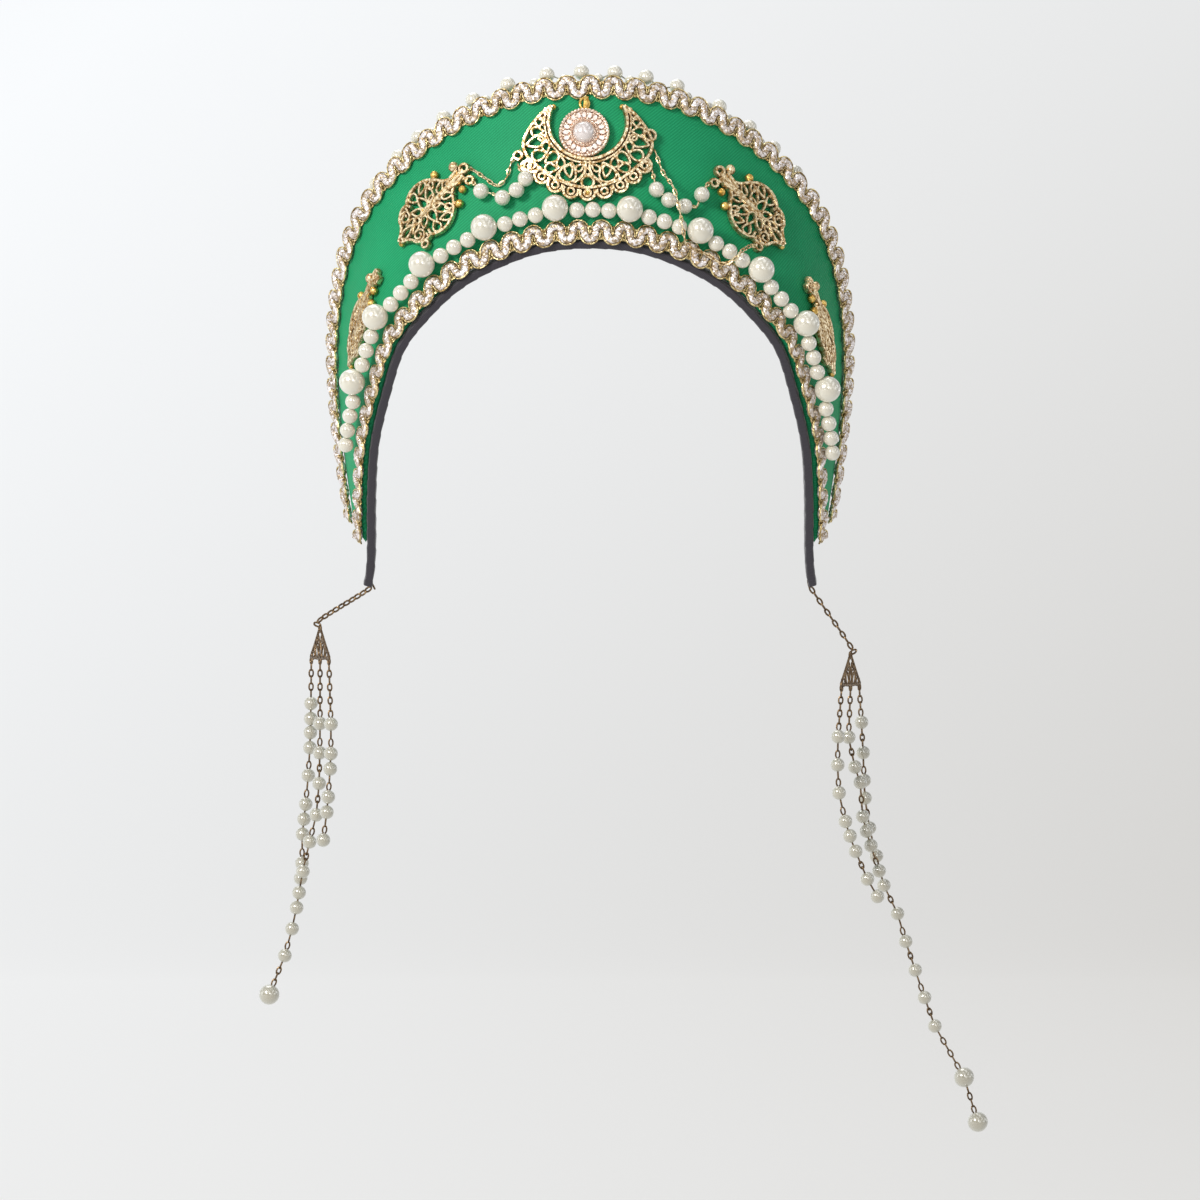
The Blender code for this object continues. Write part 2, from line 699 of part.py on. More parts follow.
def crescent_cells():
    """Cells of the crescent: two rows between its opening and its scalloped outer edge."""
    ribs = [Rib(-rib.angle, rib.inner, rib.outer) for rib in reversed(CRESCENT_RIBS[1:])]
    ribs += CRESCENT_RIBS

    def at(angle, radius):
        turn = math.radians(angle)
        return (radius * math.sin(turn), -radius * math.cos(turn))

    cells = []
    last = len(ribs) - 2
    for i, (near, far) in enumerate(zip(ribs, ribs[1:])):
        near_middle = at(near.angle, near.inner * 0.55 + near.outer * 0.45)
        far_middle = at(far.angle, far.inner * 0.55 + far.outer * 0.45)
        crest = at(
            0.5 * (near.angle + far.angle), 0.5 * (near.outer + far.outer) + CRESCENT_SCALLOP
        )
        inner = [at(near.angle, near.inner), at(far.angle, far.inner)]
        outer = [at(far.angle, far.outer), crest, at(near.angle, near.outer)]
        if i == 0:
            cells.append([inner[0], inner[1], far_middle, outer[0], outer[2]])
        elif i == last:
            cells.append([inner[0], inner[1], outer[0], outer[2], near_middle])
        else:
            cells.append([inner[0], inner[1], far_middle, near_middle])
            cells.append([near_middle, far_middle, *outer])
    return cells


def build_plates(front):
    """Crescent in the middle and four leaves beside it."""
    pierced_plate("crescent_plate", crescent_cells(), draped(front, *CRESCENT_CENTRE), "pale_gold")
    for leaf in LEAVES:
        place = draped(front, leaf.x, leaf.z, leaf.turn)
        pierced_plate(leaf.name, grid_cells(LEAF_WIDTHS, LEAF_COLUMNS), place, "pale_gold")


def build_medallion(front):
    """Turned setting with its pearl, and the ring that it hangs from, in one body."""
    middle, facing = seen_on_panel(front, *MEDALLION_CENTRE)
    up = (Vector((0.0, 0.0, 1.0)) - facing * facing.z).normalized()
    base = middle + facing * PLATE_LIFT
    rings = []
    for turn in MEDALLION_OUTLINE:
        centre = base + facing * turn.height * MM
        rings.append(round_ring(centre, facing, up, turn.radius * MM, MEDALLION_SIDES))
    rings.append(round_ring(base + facing * MEDALLION_TOP * MM, facing, up, 0.5 * MM, MEDALLION_SIDES))
    medallion = finish_mesh("medallion", loft(rings), "rose_gold", 50.0)

    bm = bmesh.new()
    centre = base + up * MEDALLION_RING_UP + facing * (MEDALLION_RING_WIRE + 0.3 * MM)
    profile = round_ring(
        centre + up * MEDALLION_RING_RADIUS,
        up.cross(facing),
        up,
        MEDALLION_RING_WIRE,
        MEDALLION_RING_SIDES,
    )
    verts = [bm.verts.new(point) for point in profile]
    edges = [bm.edges.new((verts[i - 1], verts[i])) for i in range(MEDALLION_RING_SIDES)]
    bmesh.ops.spin(
        bm,
        geom=verts + edges,
        cent=centre,
        axis=facing,
        angle=2.0 * math.pi,
        steps=MEDALLION_RING_STEPS,
        use_merge=True,
    )
    ring = finish_mesh("medallion_hanging_ring", bm, "pale_gold")
    ring.hide_render = True
    ring.display_type = "WIRE"
    union = medallion.modifiers.new("join_ring", "BOOLEAN")
    union.operation = "UNION"
    union.solver = "EXACT"
    union.object = ring


def build_swags(front):
    """Short strings of four pearls from the crescent to the leaf plates."""
    for name, knots in SWAGS.items():
        laid = []
        for knot in knots:
            point, normal = lifted_as_seen(front, knot.x, knot.z, knot.lift * MM)
            radius = knot.bead * MM if knot.bead else WIRE
            laid.append((point, normal, radius))
        finish_mesh(name, loft(bead_rings(laid, PEARL_SIDES)), "ivory_pearl", 80.0)


def build_drape_chains(front):
    """Fine chains that hang beside the swags, as thin tubes."""
    for name, hangs in DRAPE_CHAINS.items():
        route = [lifted_as_seen(front, hang.x, hang.z, hang.lift * MM)[0] for hang in hangs]
        tube(name, route, FINE_CHAIN, FINE_CHAIN_SPACING, "pale_gold")


def connector_place(connector):
    """Placement of a connector plate, its foot's middle at the given spot."""
    foot = seen_at_depth(connector.x, connector.z, connector.depth)
    turn = math.radians(connector.turn)
    across = Vector((math.sin(turn), math.cos(turn), 0.0))
    facing = Vector((math.cos(turn), -math.sin(turn), 0.0)) * (1.0 if connector.x > 0.0 else -1.0)
    half_length = 0.5 * CONNECTOR_WIDTHS[-1].along * MM
    up = Vector((0.0, 0.0, 1.0))

    def place(flat):
        return foot + across * flat.x + up * (flat.y + half_length) + facing * flat.z

    return place


def build_sides():
    """Connector, its chain and its three strands at each side."""
    half_length = 0.5 * CONNECTOR_WIDTHS[-1].along * MM
    middle = 0.5 * PLATE_THICKNESS
    for connector in CONNECTORS:
        side = 1.0 if connector.side == "right" else -1.0
        place = connector_place(connector)
        cells = grid_cells(CONNECTOR_WIDTHS, CONNECTOR_COLUMNS)
        pierced_plate("side_connector_" + connector.side, cells, place, "dark_brass")
        corners, along = band_ring(side * BAND_REACH)
        band_end = sum(corners, Vector()) / 4.0 + along * side * GAP
        top = place(Vector((0.0, half_length + GAP, middle)))
        lead = Vector((0.0, 0.0, CHAIN_LEAD))
        route = [band_end, band_end + along * side * CHAIN_LEAD, top + lead, top]
        tube("end_chain_" + connector.side, route, END_CHAIN, END_CHAIN_SPACING, "dark_brass")
        for spot, offset in STRAND_PLACES.items():
            name = f"strand_{connector.side}_{spot}"
            start = place(Vector((offset * STRANDS_APART, -half_length - GAP, middle)))
            points = [start] + [seen_at_depth(*drop) for drop in STRANDS[name]]
            tube(name, points, STRAND, STRAND_SPACING, "ivory_pearl")


def main():
    """Build every piece."""
    clear_scene()
    front = make_front()
    build_panel()
    build_headband()
    build_braid("outer_braid", panel_width)
    build_braid("inner_braid", lambda u: 0.0)
    build_pearl_rows()
    build_rim_pearls()
    build_plates(front)
    build_medallion(front)
    build_swags(front)
    build_drape_chains(front)
    build_sides()


main()
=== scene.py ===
"""Looks of a crescent headband in the manner of a french hood, laid out as a Blender add-on.

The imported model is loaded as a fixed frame. Every operator makes one piece, or a group of like
pieces, over the solids of that frame: satin panel, ribbon band, gimp braids, strings of pearls,
filigree, medallion, swags, chains, connectors and hanging strands.

Units are metres. +Z is up and the front looks towards -Y.
"""

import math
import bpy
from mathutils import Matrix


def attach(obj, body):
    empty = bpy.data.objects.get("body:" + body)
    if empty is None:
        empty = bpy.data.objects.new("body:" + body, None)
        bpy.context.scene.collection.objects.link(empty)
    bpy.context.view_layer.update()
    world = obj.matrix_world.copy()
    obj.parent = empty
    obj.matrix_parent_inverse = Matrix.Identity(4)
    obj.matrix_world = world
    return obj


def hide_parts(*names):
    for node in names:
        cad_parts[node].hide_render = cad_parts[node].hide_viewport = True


bl_info = {
    "name": "Crescent headband",
    "version": (1, 0, 0),
    "blender": (4, 5, 0),
    "location": "3D View > Sidebar > Headband",
    "description": "Makes the looks of a satin and pearl crescent headband",
    "category": "Object",
}

from collections import namedtuple
from functools import lru_cache

import bmesh
import bpy
from bpy.props import FloatProperty, FloatVectorProperty, IntProperty, PointerProperty
from mathutils import Matrix, Vector
from mathutils.bvhtree import BVHTree

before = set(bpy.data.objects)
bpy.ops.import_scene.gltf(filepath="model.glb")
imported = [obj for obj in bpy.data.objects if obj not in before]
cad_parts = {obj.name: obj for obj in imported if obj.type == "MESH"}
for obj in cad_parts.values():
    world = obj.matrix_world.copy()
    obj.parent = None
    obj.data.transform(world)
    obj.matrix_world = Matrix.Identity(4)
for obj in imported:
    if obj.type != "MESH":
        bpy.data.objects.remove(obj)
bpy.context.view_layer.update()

MM = 0.001
FULL_TURN = 2.0 * math.pi
UPWARDS = Vector((0.0, 0.0, 1.0))
GAP = 0.35 * MM
PANEL_THICKNESS = 3.0 * MM
PANEL_MARGIN = 3.5 * MM             # from a braid's middle line to the solid's edge
PANEL_CROWN = 1.2 * MM              # how far the padded middle stands proud
BRAID_THICKNESS = 1.7 * MM
BRAID_HALF_WIDE = 4.3 * MM

WALK_STEPS = 400                    # fineness of lines and of the surface that things lie on
CURVE_STEPS = 20
FRONT_COLUMNS = 240
FRONT_ROWS = 16
SIGHT_ROUNDS = 5
SECTION_STEP = 0.04
UP_STEP = 0.5 * MM
DROP_HEIGHT = 40.0 * MM             # from where a flat pattern is dropped onto the panel
MESH_MERGE = 0.002 * MM
STRANDS_TWISTED = 3                 # strands of a twisted cord, and how deep they are parted
TWIST_DEPTH = 0.24

VIEW_DISTANCE = 1600.0              # eye of the front view, in mm
EYE = Vector((3.8, -VIEW_DISTANCE, -132.7)) * MM

# Sections of the right half in mm: where each crosses the inner braid's middle line, then the
# outer braid's
SECTIONS = [
    ((0.0, -3.0, 6.1), (0.0, 5.0, 60.9)),
    ((18.8, -2.2, 4.5), (23.5, 8.0, 58.9)),
    ((35.8, 0.0, -0.8), (46.5, 17.2, 51.2)),
    ((51.8, 3.5, -9.0), (67.6, 29.0, 38.1)),
    ((64.8, 8.0, -20.2), (84.2, 40.0, 20.7)),
    ((75.7, 14.0, -33.8), (93.6, 49.0, 1.0)),
    ((82.2, 22.0, -52.4), (98.4, 57.0, -24.2)),
    ((86.8, 30.5, -71.2), (98.6, 61.0, -51.3)),
    ((88.4, 38.5, -90.2), (95.9, 61.5, -77.9)),
    ((88.8, 46.5, -109.4), (92.2, 58.0, -101.5)),
]
LAST_SECTION = len(SECTIONS) - 1


def size(name, description, millimetres):
    """A length that a user may change."""
    return FloatProperty(
        name=name, description=description, default=millimetres * MM, min=0.0, unit="LENGTH",
        precision=5,
    )


def colour(name, description, red, green, blue):
    """A colour that a user may change."""
    return FloatVectorProperty(
        name=name, description=description, default=(red, green, blue), size=3, min=0.0, max=1.0,
        subtype="COLOR",
    )


class HeadbandSizes(bpy.types.PropertyGroup):
    """Sizes of the trimmings."""

    braid_pitch: size("Braid pitch", "Length of one scallop of the gimp braid", 8.6)
    braid_cord: size("Braid cord", "Half the width of the braid's thick cord", 1.6)
    braid_edge: size("Braid edging", "Radius of the thin cords beside the thick one", 0.32)
    large_pearl: size("Large pearl", "Radius of the large pearls in the row", 5.0)
    small_pearl: size("Small pearl", "Radius of the small pearls", 3.0)
    rim_seed: size("Rim seed pearl", "Radius of the smallest pearls on the outer rim", 2.1)
    twill_pitch: size("Twill pitch", "Distance between two diagonal lines of the satin", 1.0)
    ribbon_wrap: size("Ribbon wrap", "Length of band that each turn of the ribbon covers", 6.5)
    filigree_wire: size("Filigree wire", "Half the width of the filigree's thicker lines", 0.95)
    link_wire: size("Link wire", "Radius of the wire of the chain links", 0.32)
    stone_count: IntProperty(
        name="Stones", description="Stones round the medallion's pearl", default=20, min=6, max=40
    )


class HeadbandColours(bpy.types.PropertyGroup):
    """Colours of the trimmings."""

    satin: colour("Satin", "Raised lines of the green satin", 0.026, 0.43, 0.18)
    satin_deep: colour("Satin, deep", "Between the lines of the satin", 0.008, 0.22, 0.085)
    ribbon: colour("Ribbon", "Ribbon wound round the band", 0.022, 0.018, 0.026)
    silver_cord: colour("Silver cord", "Thick cord of the braid", 0.94, 0.88, 0.87)
    gold_cord: colour("Gold cord", "Thin cords of the braid", 0.90, 0.74, 0.38)
    ivory: colour("Ivory", "Pearls of the rows and swags", 0.76, 0.70, 0.56)
    # Painted shade: a darker copy of the ivory for the pearls of the hanging strands, which get less
    # light.
    ivory_strand: colour("Ivory, strands", "Pearls of the hanging strands", 0.46, 0.42, 0.31)
    # Painted sheen: the paler colour the pearls take towards their outline, standing in for the bright
    # surroundings they mirror there.
    ivory_rim: colour("Ivory, rim", "Outline of the pearls", 0.96, 0.96, 0.84)
    pale_gold: colour("Pale gold", "Filigree and fine chains", 0.98, 0.83, 0.55)
    yellow_gold: colour("Yellow gold", "Hanging ring, horn tips and small knobs", 0.90, 0.64, 0.20)
    rose_gold: colour("Rose gold", "Medallion", 1.0, 0.88, 0.76)
    dark_brass: colour("Dark brass", "Connectors and the links of the strands", 0.20, 0.13, 0.065)
    blush: colour("Blush", "Pearl of the medallion", 0.90, 0.80, 0.76)
    stage: colour("Stage", "Backdrop at its upper left", 0.93, 0.95, 0.97)
    stage_shade: colour("Stage, shaded", "Backdrop at its lower right", 0.575, 0.56, 0.535)


def sizes():
    """The sizes in use."""
    return bpy.context.scene.headband_sizes


def colours():
    """The colours in use."""
    return bpy.context.scene.headband_colours


# Shape of the panel
def catmull_rom(before, start, end, after, share):
    """Point on the smooth curve between start and end."""
    return 0.5 * (
        2.0 * start
        + (end - before) * share
        + (2.0 * before - 5.0 * start + 4.0 * end - after) * share ** 2
        + (3.0 * start - before - 3.0 * end + after) * share ** 3
    )


@lru_cache(maxsize=None)
def section_ends(index):
    """Inner and outer point of a section, mirrored left and carried on past the end."""
    side = -1.0 if index < 0 else 1.0
    index = abs(index)
    if index > LAST_SECTION:
        last = section_ends(LAST_SECTION)
        before = section_ends(LAST_SECTION - 1)
        ends = [2.0 * near - far for near, far in zip(last, before)]
    else:
        ends = [Vector(point) * MM for point in SECTIONS[index]]
    return tuple(Vector((side * point.x, point.y, point.z)) for point in ends)


@lru_cache(maxsize=None)
def braid_lines(u):
    """Points of the inner and outer braid's middle lines at section u, from -9 to 9."""
    start = min(max(math.floor(u), -LAST_SECTION), LAST_SECTION - 1)
    rows = [section_ends(start + step) for step in (-1, 0, 1, 2)]
    return tuple(catmull_rom(*[row[end] for row in rows], u - start) for end in (0, 1))


@lru_cache(maxsize=None)
def panel_rise(u):
    """Inner point, direction up the panel, direction it faces and width at section u."""
    inner, outer = braid_lines(u)
    width = (outer - inner).length
    rise = (outer - inner) / width
    along = braid_lines(u + SECTION_STEP)[0] - braid_lines(u - SECTION_STEP)[0]
    return inner, rise, along.cross(rise).normalized(), width


def panel_width(u):
    """Distance between the two middle lines at section u."""
    return panel_rise(u)[3]


def panel_point(u, up):
    """Point of the panel's front, at a distance up from the inner braid's middle line."""
    inner, rise, facing, width = panel_rise(u)
    share = min(max(up / width, 0.0), 1.0)
    return inner + rise * up + facing * (PANEL_CROWN * 4.0 * share * (1.0 - share))


def panel_normal(u, up):
    """Direction that the panel's front faces."""
    along = panel_point(u + SECTION_STEP, up) - panel_point(u - SECTION_STEP, up)
    rise = panel_point(u, up + UP_STEP) - panel_point(u, up - UP_STEP)
    return along.cross(rise).normalized()


def on_panel(u, up, lift):
    """Point lifted off the panel's front."""
    return panel_point(u, up) + panel_normal(u, up) * lift


def even_places(points, count):
    """Cell and share within it of places that divide a row of points into equal lengths."""
    lengths = [0.0]
    for near, far in zip(points, points[1:]):
        lengths.append(lengths[-1] + (far - near).length)
    places = []
    cell = 0
    for step in range(count + 1):
        wanted = lengths[-1] * step / count
        while cell < len(points) - 2 and lengths[cell + 1] < wanted:
            cell += 1
        places.append((cell, (wanted - lengths[cell]) / (lengths[cell + 1] - lengths[cell])))
    return places


def route_length(points):
    """Length of a row of points."""
    return sum((far - near).length for near, far in zip(points, points[1:]))


def section_walk(up_of, reach):
    """Close section numbers from one side to the other, and the line up_of(u) over them."""
    walk = [reach * (2.0 * step / WALK_STEPS - 1.0) for step in range(WALK_STEPS + 1)]
    return walk, [panel_point(u, up_of(u)) for u in walk]


def even_sections(up_of, reach, count):
    """Section numbers that divide the line up_of(u) into equal lengths."""
    walk, points = section_walk(up_of, reach)
    return [
        walk[cell] + (walk[cell + 1] - walk[cell]) * share
        for cell, share in even_places(points, count)
    ]


def grid_step(place, count):
    """Step of a point of a fresh grid, whose sides run from -1 to 1."""
    return round((place + 1.0) / 2.0 * count)


@lru_cache(maxsize=None)
def panel_front():
    """Fine copy of the panel's front, to drop things onto."""
    bm = bmesh.new()
    bmesh.ops.create_grid(bm, x_segments=FRONT_COLUMNS, y_segments=FRONT_ROWS, size=1.0)
    for vert in bm.verts:
        u = vert.co.x * LAST_SECTION
        high = panel_width(u) + PANEL_MARGIN
        vert.co = panel_point(u, -PANEL_MARGIN + (high + PANEL_MARGIN) * (vert.co.y + 1.0) / 2.0)
    bm.normal_update()
    front = BVHTree.FromBMesh(bm)
    bm.free()
    return front


def seen_on_panel(x, z):
    """Point and normal of the panel's front where a front view shows x, z in mm."""
    hit, normal, _, _ = panel_front().ray_cast(EYE, Vector((x, 0.0, z)) * MM - EYE)
    return hit, -normal if normal.y > 0.0 else normal


def lifted_as_seen(x, z, lift):
    """Point lifted off the panel where a front view shows x, z in mm."""
    aim_x = x
    aim_z = z
    for _ in range(SIGHT_ROUNDS):
        base, normal = seen_on_panel(aim_x, aim_z)
        point = base + normal * lift
        seen = EYE + (point - EYE) * (EYE.y / (EYE.y - point.y))
        aim_x += x - seen.x / MM
        aim_z += z - seen.z / MM
    return point


def seen_at_depth(x, z, depth):
    """Point that a front view shows at x, z in mm, at a depth behind the origin in mm."""
    return EYE + (Vector((x, 0.0, z)) * MM - EYE) * (depth + VIEW_DISTANCE) / VIEW_DISTANCE


def as_seen(point, axis):
    """Where a front view shows a point along one axis."""
    return EYE[axis] + (point[axis] - EYE[axis]) * EYE.y / (EYE.y - point.y)


def across_and_up(facing):
    """Level direction and upward direction of a surface."""
    up = (UPWARDS - facing * facing.z).normalized()
    return up.cross(facing), up


def turned(x, y, degrees):
    """A flat place turned about the origin."""
    turn = math.radians(degrees)
    return x * math.cos(turn) - y * math.sin(turn), x * math.sin(turn) + y * math.cos(turn)


def draped(x, z, turn=0.0):
    """Placement that drops a flat pattern onto the panel's front where a view shows x, z."""
    middle, facing = seen_on_panel(x, z)
    across, up = across_and_up(facing)

    def place(flat):
        a, b = turned(flat.x, flat.y, turn)
        start = middle + across * a + up * b + facing * DROP_HEIGHT
        hit, normal, _, _ = panel_front().ray_cast(start, -facing)
        return hit + (-normal if normal.dot(facing) < 0.0 else normal) * flat.z

    return place


# Tools for meshes
def smooth_route(points, spacing):
    """Points about a spacing apart on the smooth curve through a route's own points."""
    ends = [2.0 * points[0] - points[1]] + points + [2.0 * points[-1] - points[-2]]
    fine = []
    for i in range(1, len(ends) - 2):
        fine += [catmull_rom(*ends[i - 1:i + 3], step / CURVE_STEPS) for step in range(CURVE_STEPS)]
    fine.append(points[-1])
    count = max(2, round(route_length(fine) / spacing))
    return [fine[cell].lerp(fine[cell + 1], share) for cell, share in even_places(fine, count)]


def uv_map(bm):
    """The mesh's one UV map."""
    layers = bm.loops.layers.uv
    return layers.get("UVMap") or layers.new("UVMap")


def faces_of(made):
    """Faces round the new vertices of an operator's result."""
    return {face for vert in made["verts"] for face in vert.link_faces}


def skinned(bm, rings, closed=False, material=0):
    """Skin over rings of points, its UV map in metres along and round, its ends drawn together."""
    if not closed:
        ends = [sum(ring, Vector()) / len(ring) for ring in (rings[0], rings[-1])]
        rings = [[ends[0]] * len(rings[0]), *rings, [ends[1]] * len(rings[0])]
    uv = uv_map(bm)
    spans = len(rings) if closed else len(rings) - 1
    sides = len(rings[0])
    length = route_length([ring[0] for ring in rings])
    girth = route_length(rings[1] + rings[1][:1])
    made = bmesh.ops.create_grid(bm, x_segments=spans, y_segments=sides, size=1.0, calc_uvs=True)
    for vert in made["verts"]:
        ring = rings[grid_step(vert.co.x, spans) % len(rings)]
        vert.co = ring[grid_step(vert.co.y, sides) % sides]
    for face in faces_of(made):
        face.material_index = material
        for loop in face.loops:
            loop[uv].uv = (loop[uv].uv.x * length, loop[uv].uv.y * girth)
    bmesh.ops.remove_doubles(bm, verts=made["verts"], dist=MESH_MERGE)


def swept(bm, points, tops, wide, high, sides, closed=False, material=0, lay=0.0):
    """Oval tube along points, half as wide and high as given, and twisted if it has a lay."""
    if isinstance(tops, Vector):
        tops = [tops] * len(points)
    last = len(points) - 1
    rings = []
    gone = 0.0
    for i, (centre, top) in enumerate(zip(points, tops)):
        ahead = points[(i + 1) % len(points)] if closed else points[min(i + 1, last)]
        behind = points[i - 1] if closed or i > 0 else points[0]
        along = (ahead - behind).normalized()
        side = along.cross(top).normalized()
        rise = side.cross(along) * high
        side = side * wide
        if i:
            gone += (centre - points[i - 1]).length
        ring = []
        for step in range(sides):
            turn = FULL_TURN * step / sides
            reach = 1.0
            if lay:
                strand = abs(math.cos(0.5 * STRANDS_TWISTED * (turn - FULL_TURN * gone / lay)))
                reach = 1.0 - TWIST_DEPTH * (1.0 - strand)
            ring.append(centre + (side * math.cos(turn) + rise * math.sin(turn)) * reach)
        rings.append(ring)
    skinned(bm, rings, closed, material)


def ball(bm, centre, radius, across=14, down=9, material=0, squash=1.0, facing=UPWARDS):
    """Round bead, its poles along the way it faces."""
    turn = facing.to_track_quat("Z", "Y").to_matrix().to_4x4()
    place = Matrix.Translation(centre) @ turn @ Matrix.Diagonal((1.0, 1.0, squash, 1.0))
    made = bmesh.ops.create_uvsphere(
        bm, u_segments=across, v_segments=down, radius=radius, matrix=place
    )
    for face in faces_of(made):
        face.material_index = material


def link(bm, centre, along, top, length, width, wire, material=0, steps=10, sides=5):
    """Oval chain link of round wire, lying flat across its top direction."""
    side = along.cross(top).normalized()
    top = side.cross(along).normalized()
    points = []
    for step in range(steps):
        turn = FULL_TURN * step / steps
        points.append(
            centre
            + along * math.cos(turn) * (0.5 * length - wire)
            + side * math.sin(turn) * (0.5 * width - wire)
        )
    swept(bm, points, top, wire, wire, sides, True, material)


Chain = namedtuple("Chain", "pitch length width")
FINE = Chain(2.7, 3.6, 1.7)
SHORT = Chain(1.9, 2.7, 1.8)
LONG = Chain(2.7, 3.9, 2.4)
HEAVY = Chain(2.9, 4.0, 2.3)
LINK_TOPS = (Vector((1.0, 0.0, 0.3)), Vector((0.0, -1.0, 0.0)))
NEARLY_ALONG = 0.95


def chain_between(bm, points, chain, wire, material=0):
    """Chain of one kind, its sizes in mm, along points, each link a quarter turn from the last."""
    count = max(1, round(route_length(points) / (chain.pitch * MM)))
    for step, (cell, share) in enumerate(even_places(points, 2 * count)):
        if step % 2 == 0:
            continue
        centre = points[cell].lerp(points[cell + 1], share)
        along = (points[cell + 1] - points[cell]).normalized()
        top = LINK_TOPS[step // 2 % 2]
        if abs(along.dot(top.normalized())) > NEARLY_ALONG:
            top = UPWARDS
        link(bm, centre, along, top, chain.length * MM, chain.width * MM, wire, material)


def finish_piece(name, bm, materials, slot, *nodes, smooth_angle=50.0):
    """Turn a bmesh into a piece that rides on the frame and stands for its solids."""
    bmesh.ops.recalc_face_normals(bm, faces=bm.faces)
    mesh = bpy.data.meshes.new(name)
    bm.to_mesh(mesh)
    bm.free()
    mesh.shade_smooth()
    mesh.set_sharp_from_angle(angle=math.radians(smooth_angle))
    for material in materials:
        mesh.materials.append(material)
    piece = bpy.data.objects.new(name, mesh)
    bpy.context.scene.collection.objects.link(piece)
    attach(piece, "root")
    if nodes:
        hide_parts(*nodes)
    return piece


# Materials
MIX_LOW = 6                         # sockets of a colour Mix node
MIX_HIGH = 7
MIX_RESULT = 2


def add_node(tree, kind, values=None, **settings):
    """A shader node with its settings and the values of its inputs."""
    node = tree.nodes.new("ShaderNode" + kind)
    for key, value in settings.items():
        setattr(node, key, value)
    for key, value in (values or {}).items():
        node.inputs[key].default_value = value
    return node


def maths(tree, operation, values=None, clamp=False):
    """A Math node."""
    return add_node(tree, "Math", values, operation=operation, use_clamp=clamp)


def join(tree, *links):
    """Link nodes: each link is a source node, its output, a target node and its input."""
    for source, output, target, name in links:
        tree.links.new(source.outputs[output], target.inputs[name])


def colour_mix(tree, mask, low, high, target, name):
    """Mix two colours by a mask into a socket; each is a colour, or a node and its output."""
    mix = add_node(tree, "Mix", data_type="RGBA")
    join(tree, (*mask, mix, 0), (mix, MIX_RESULT, target, name))
    for key, source in ((MIX_LOW, low), (MIX_HIGH, high)):
        if len(source) == 2:
            join(tree, (*source, mix, key))
        else:
            mix.inputs[key].default_value = source


def new_group(name, inputs, outputs):
    """Empty node group with typed sockets, and its input and output nodes."""
    tree = bpy.data.node_groups.new(name, "ShaderNodeTree")
    for label, (kind, value) in inputs.items():
        socket = tree.interface.new_socket(
            label, in_out="INPUT", socket_type="NodeSocket" + kind
        )
        socket.default_value = value
    for label, kind in outputs.items():
        tree.interface.new_socket(label, in_out="OUTPUT", socket_type="NodeSocket" + kind)
    return tree, tree.nodes.new("NodeGroupInput"), tree.nodes.new("NodeGroupOutput")


PLACE = ("Vector", (0.0, 0.0, 0.0))


@lru_cache(maxsize=None)
def woven_lines():
    """Group: even raised lines across a direction, as in twill, ribbon or twisted cord."""
    tree, start, end = new_group(
        "Woven lines",
        {
            "Vector": PLACE, "Direction": ("Vector", (1.0, 0.0, 0.0)),
            "Pitch": ("Float", 0.001), "Waver": ("Float", 0.3),
        },
        {"Mask": "Float"},
    )
    dot = add_node(tree, "VectorMath", operation="DOT_PRODUCT")
    noise = add_node(tree, "TexNoise", {"Scale": 180.0, "Detail": 2.0})
    centred = maths(tree, "SUBTRACT", {1: 0.5})
    waver = maths(tree, "MULTIPLY")
    turns = maths(tree, "DIVIDE")
    moved = maths(tree, "ADD")
    angle = maths(tree, "MULTIPLY", {1: FULL_TURN})
    wave = maths(tree, "SINE")
    mask = maths(tree, "MULTIPLY_ADD", {1: 0.5, 2: 0.5})
    join(
        tree, (start, "Vector", dot, 0), (start, "Direction", dot, 1),
        (start, "Vector", noise, "Vector"), (noise, "Fac", centred, 0), (centred, 0, waver, 0),
        (start, "Waver", waver, 1), (dot, "Value", turns, 0), (start, "Pitch", turns, 1),
        (turns, 0, moved, 0), (waver, 0, moved, 1), (moved, 0, angle, 0), (angle, 0, wave, 0),
        (wave, 0, mask, 0), (mask, 0, end, "Mask"),
    )
    return tree


@lru_cache(maxsize=None)
def drift():
    """Group: a colour that wanders between two shades, with a mask that does the same."""
    tree, start, end = new_group(
        "Drift",
        {
            "Vector": PLACE, "Colour": ("Color", (1.0, 1.0, 1.0, 1.0)),
            "Other": ("Color", (0.5, 0.5, 0.5, 1.0)), "Scale": ("Float", 60.0),
            "Sharpness": ("Float", 2.0),
        },
        {"Colour": "Color", "Mask": "Float"},
    )
    noise = add_node(tree, "TexNoise", {"Detail": 3.0})
    centred = maths(tree, "SUBTRACT", {1: 0.5})
    spread = maths(tree, "MULTIPLY_ADD", {2: 0.5}, True)
    colour_mix(tree, (spread, 0), (start, "Colour"), (start, "Other"), end, "Colour")
    join(
        tree, (start, "Vector", noise, "Vector"), (start, "Scale", noise, "Scale"),
        (noise, "Fac", centred, 0), (centred, 0, spread, 0), (start, "Sharpness", spread, 1),
        (spread, 0, end, "Mask"),
    )
    return tree


@lru_cache(maxsize=None)
def flecks():
    """Group: small cells of random brightness, as the glints of metallic yarn."""
    tree, start, end = new_group(
        "Flecks", {"Vector": PLACE, "Scale": ("Float", 1500.0)},
        {"Mask": "Float", "Height": "Float"},
    )
    cells = add_node(tree, "TexVoronoi", feature="F1")
    split = add_node(tree, "SeparateColor")
    join(
        tree, (start, "Vector", cells, "Vector"), (start, "Scale", cells, "Scale"),
        (cells, "Color", split, "Color"), (split, "Red", end, "Mask"),
        (cells, "Distance", end, "Height"),
    )
    return tree


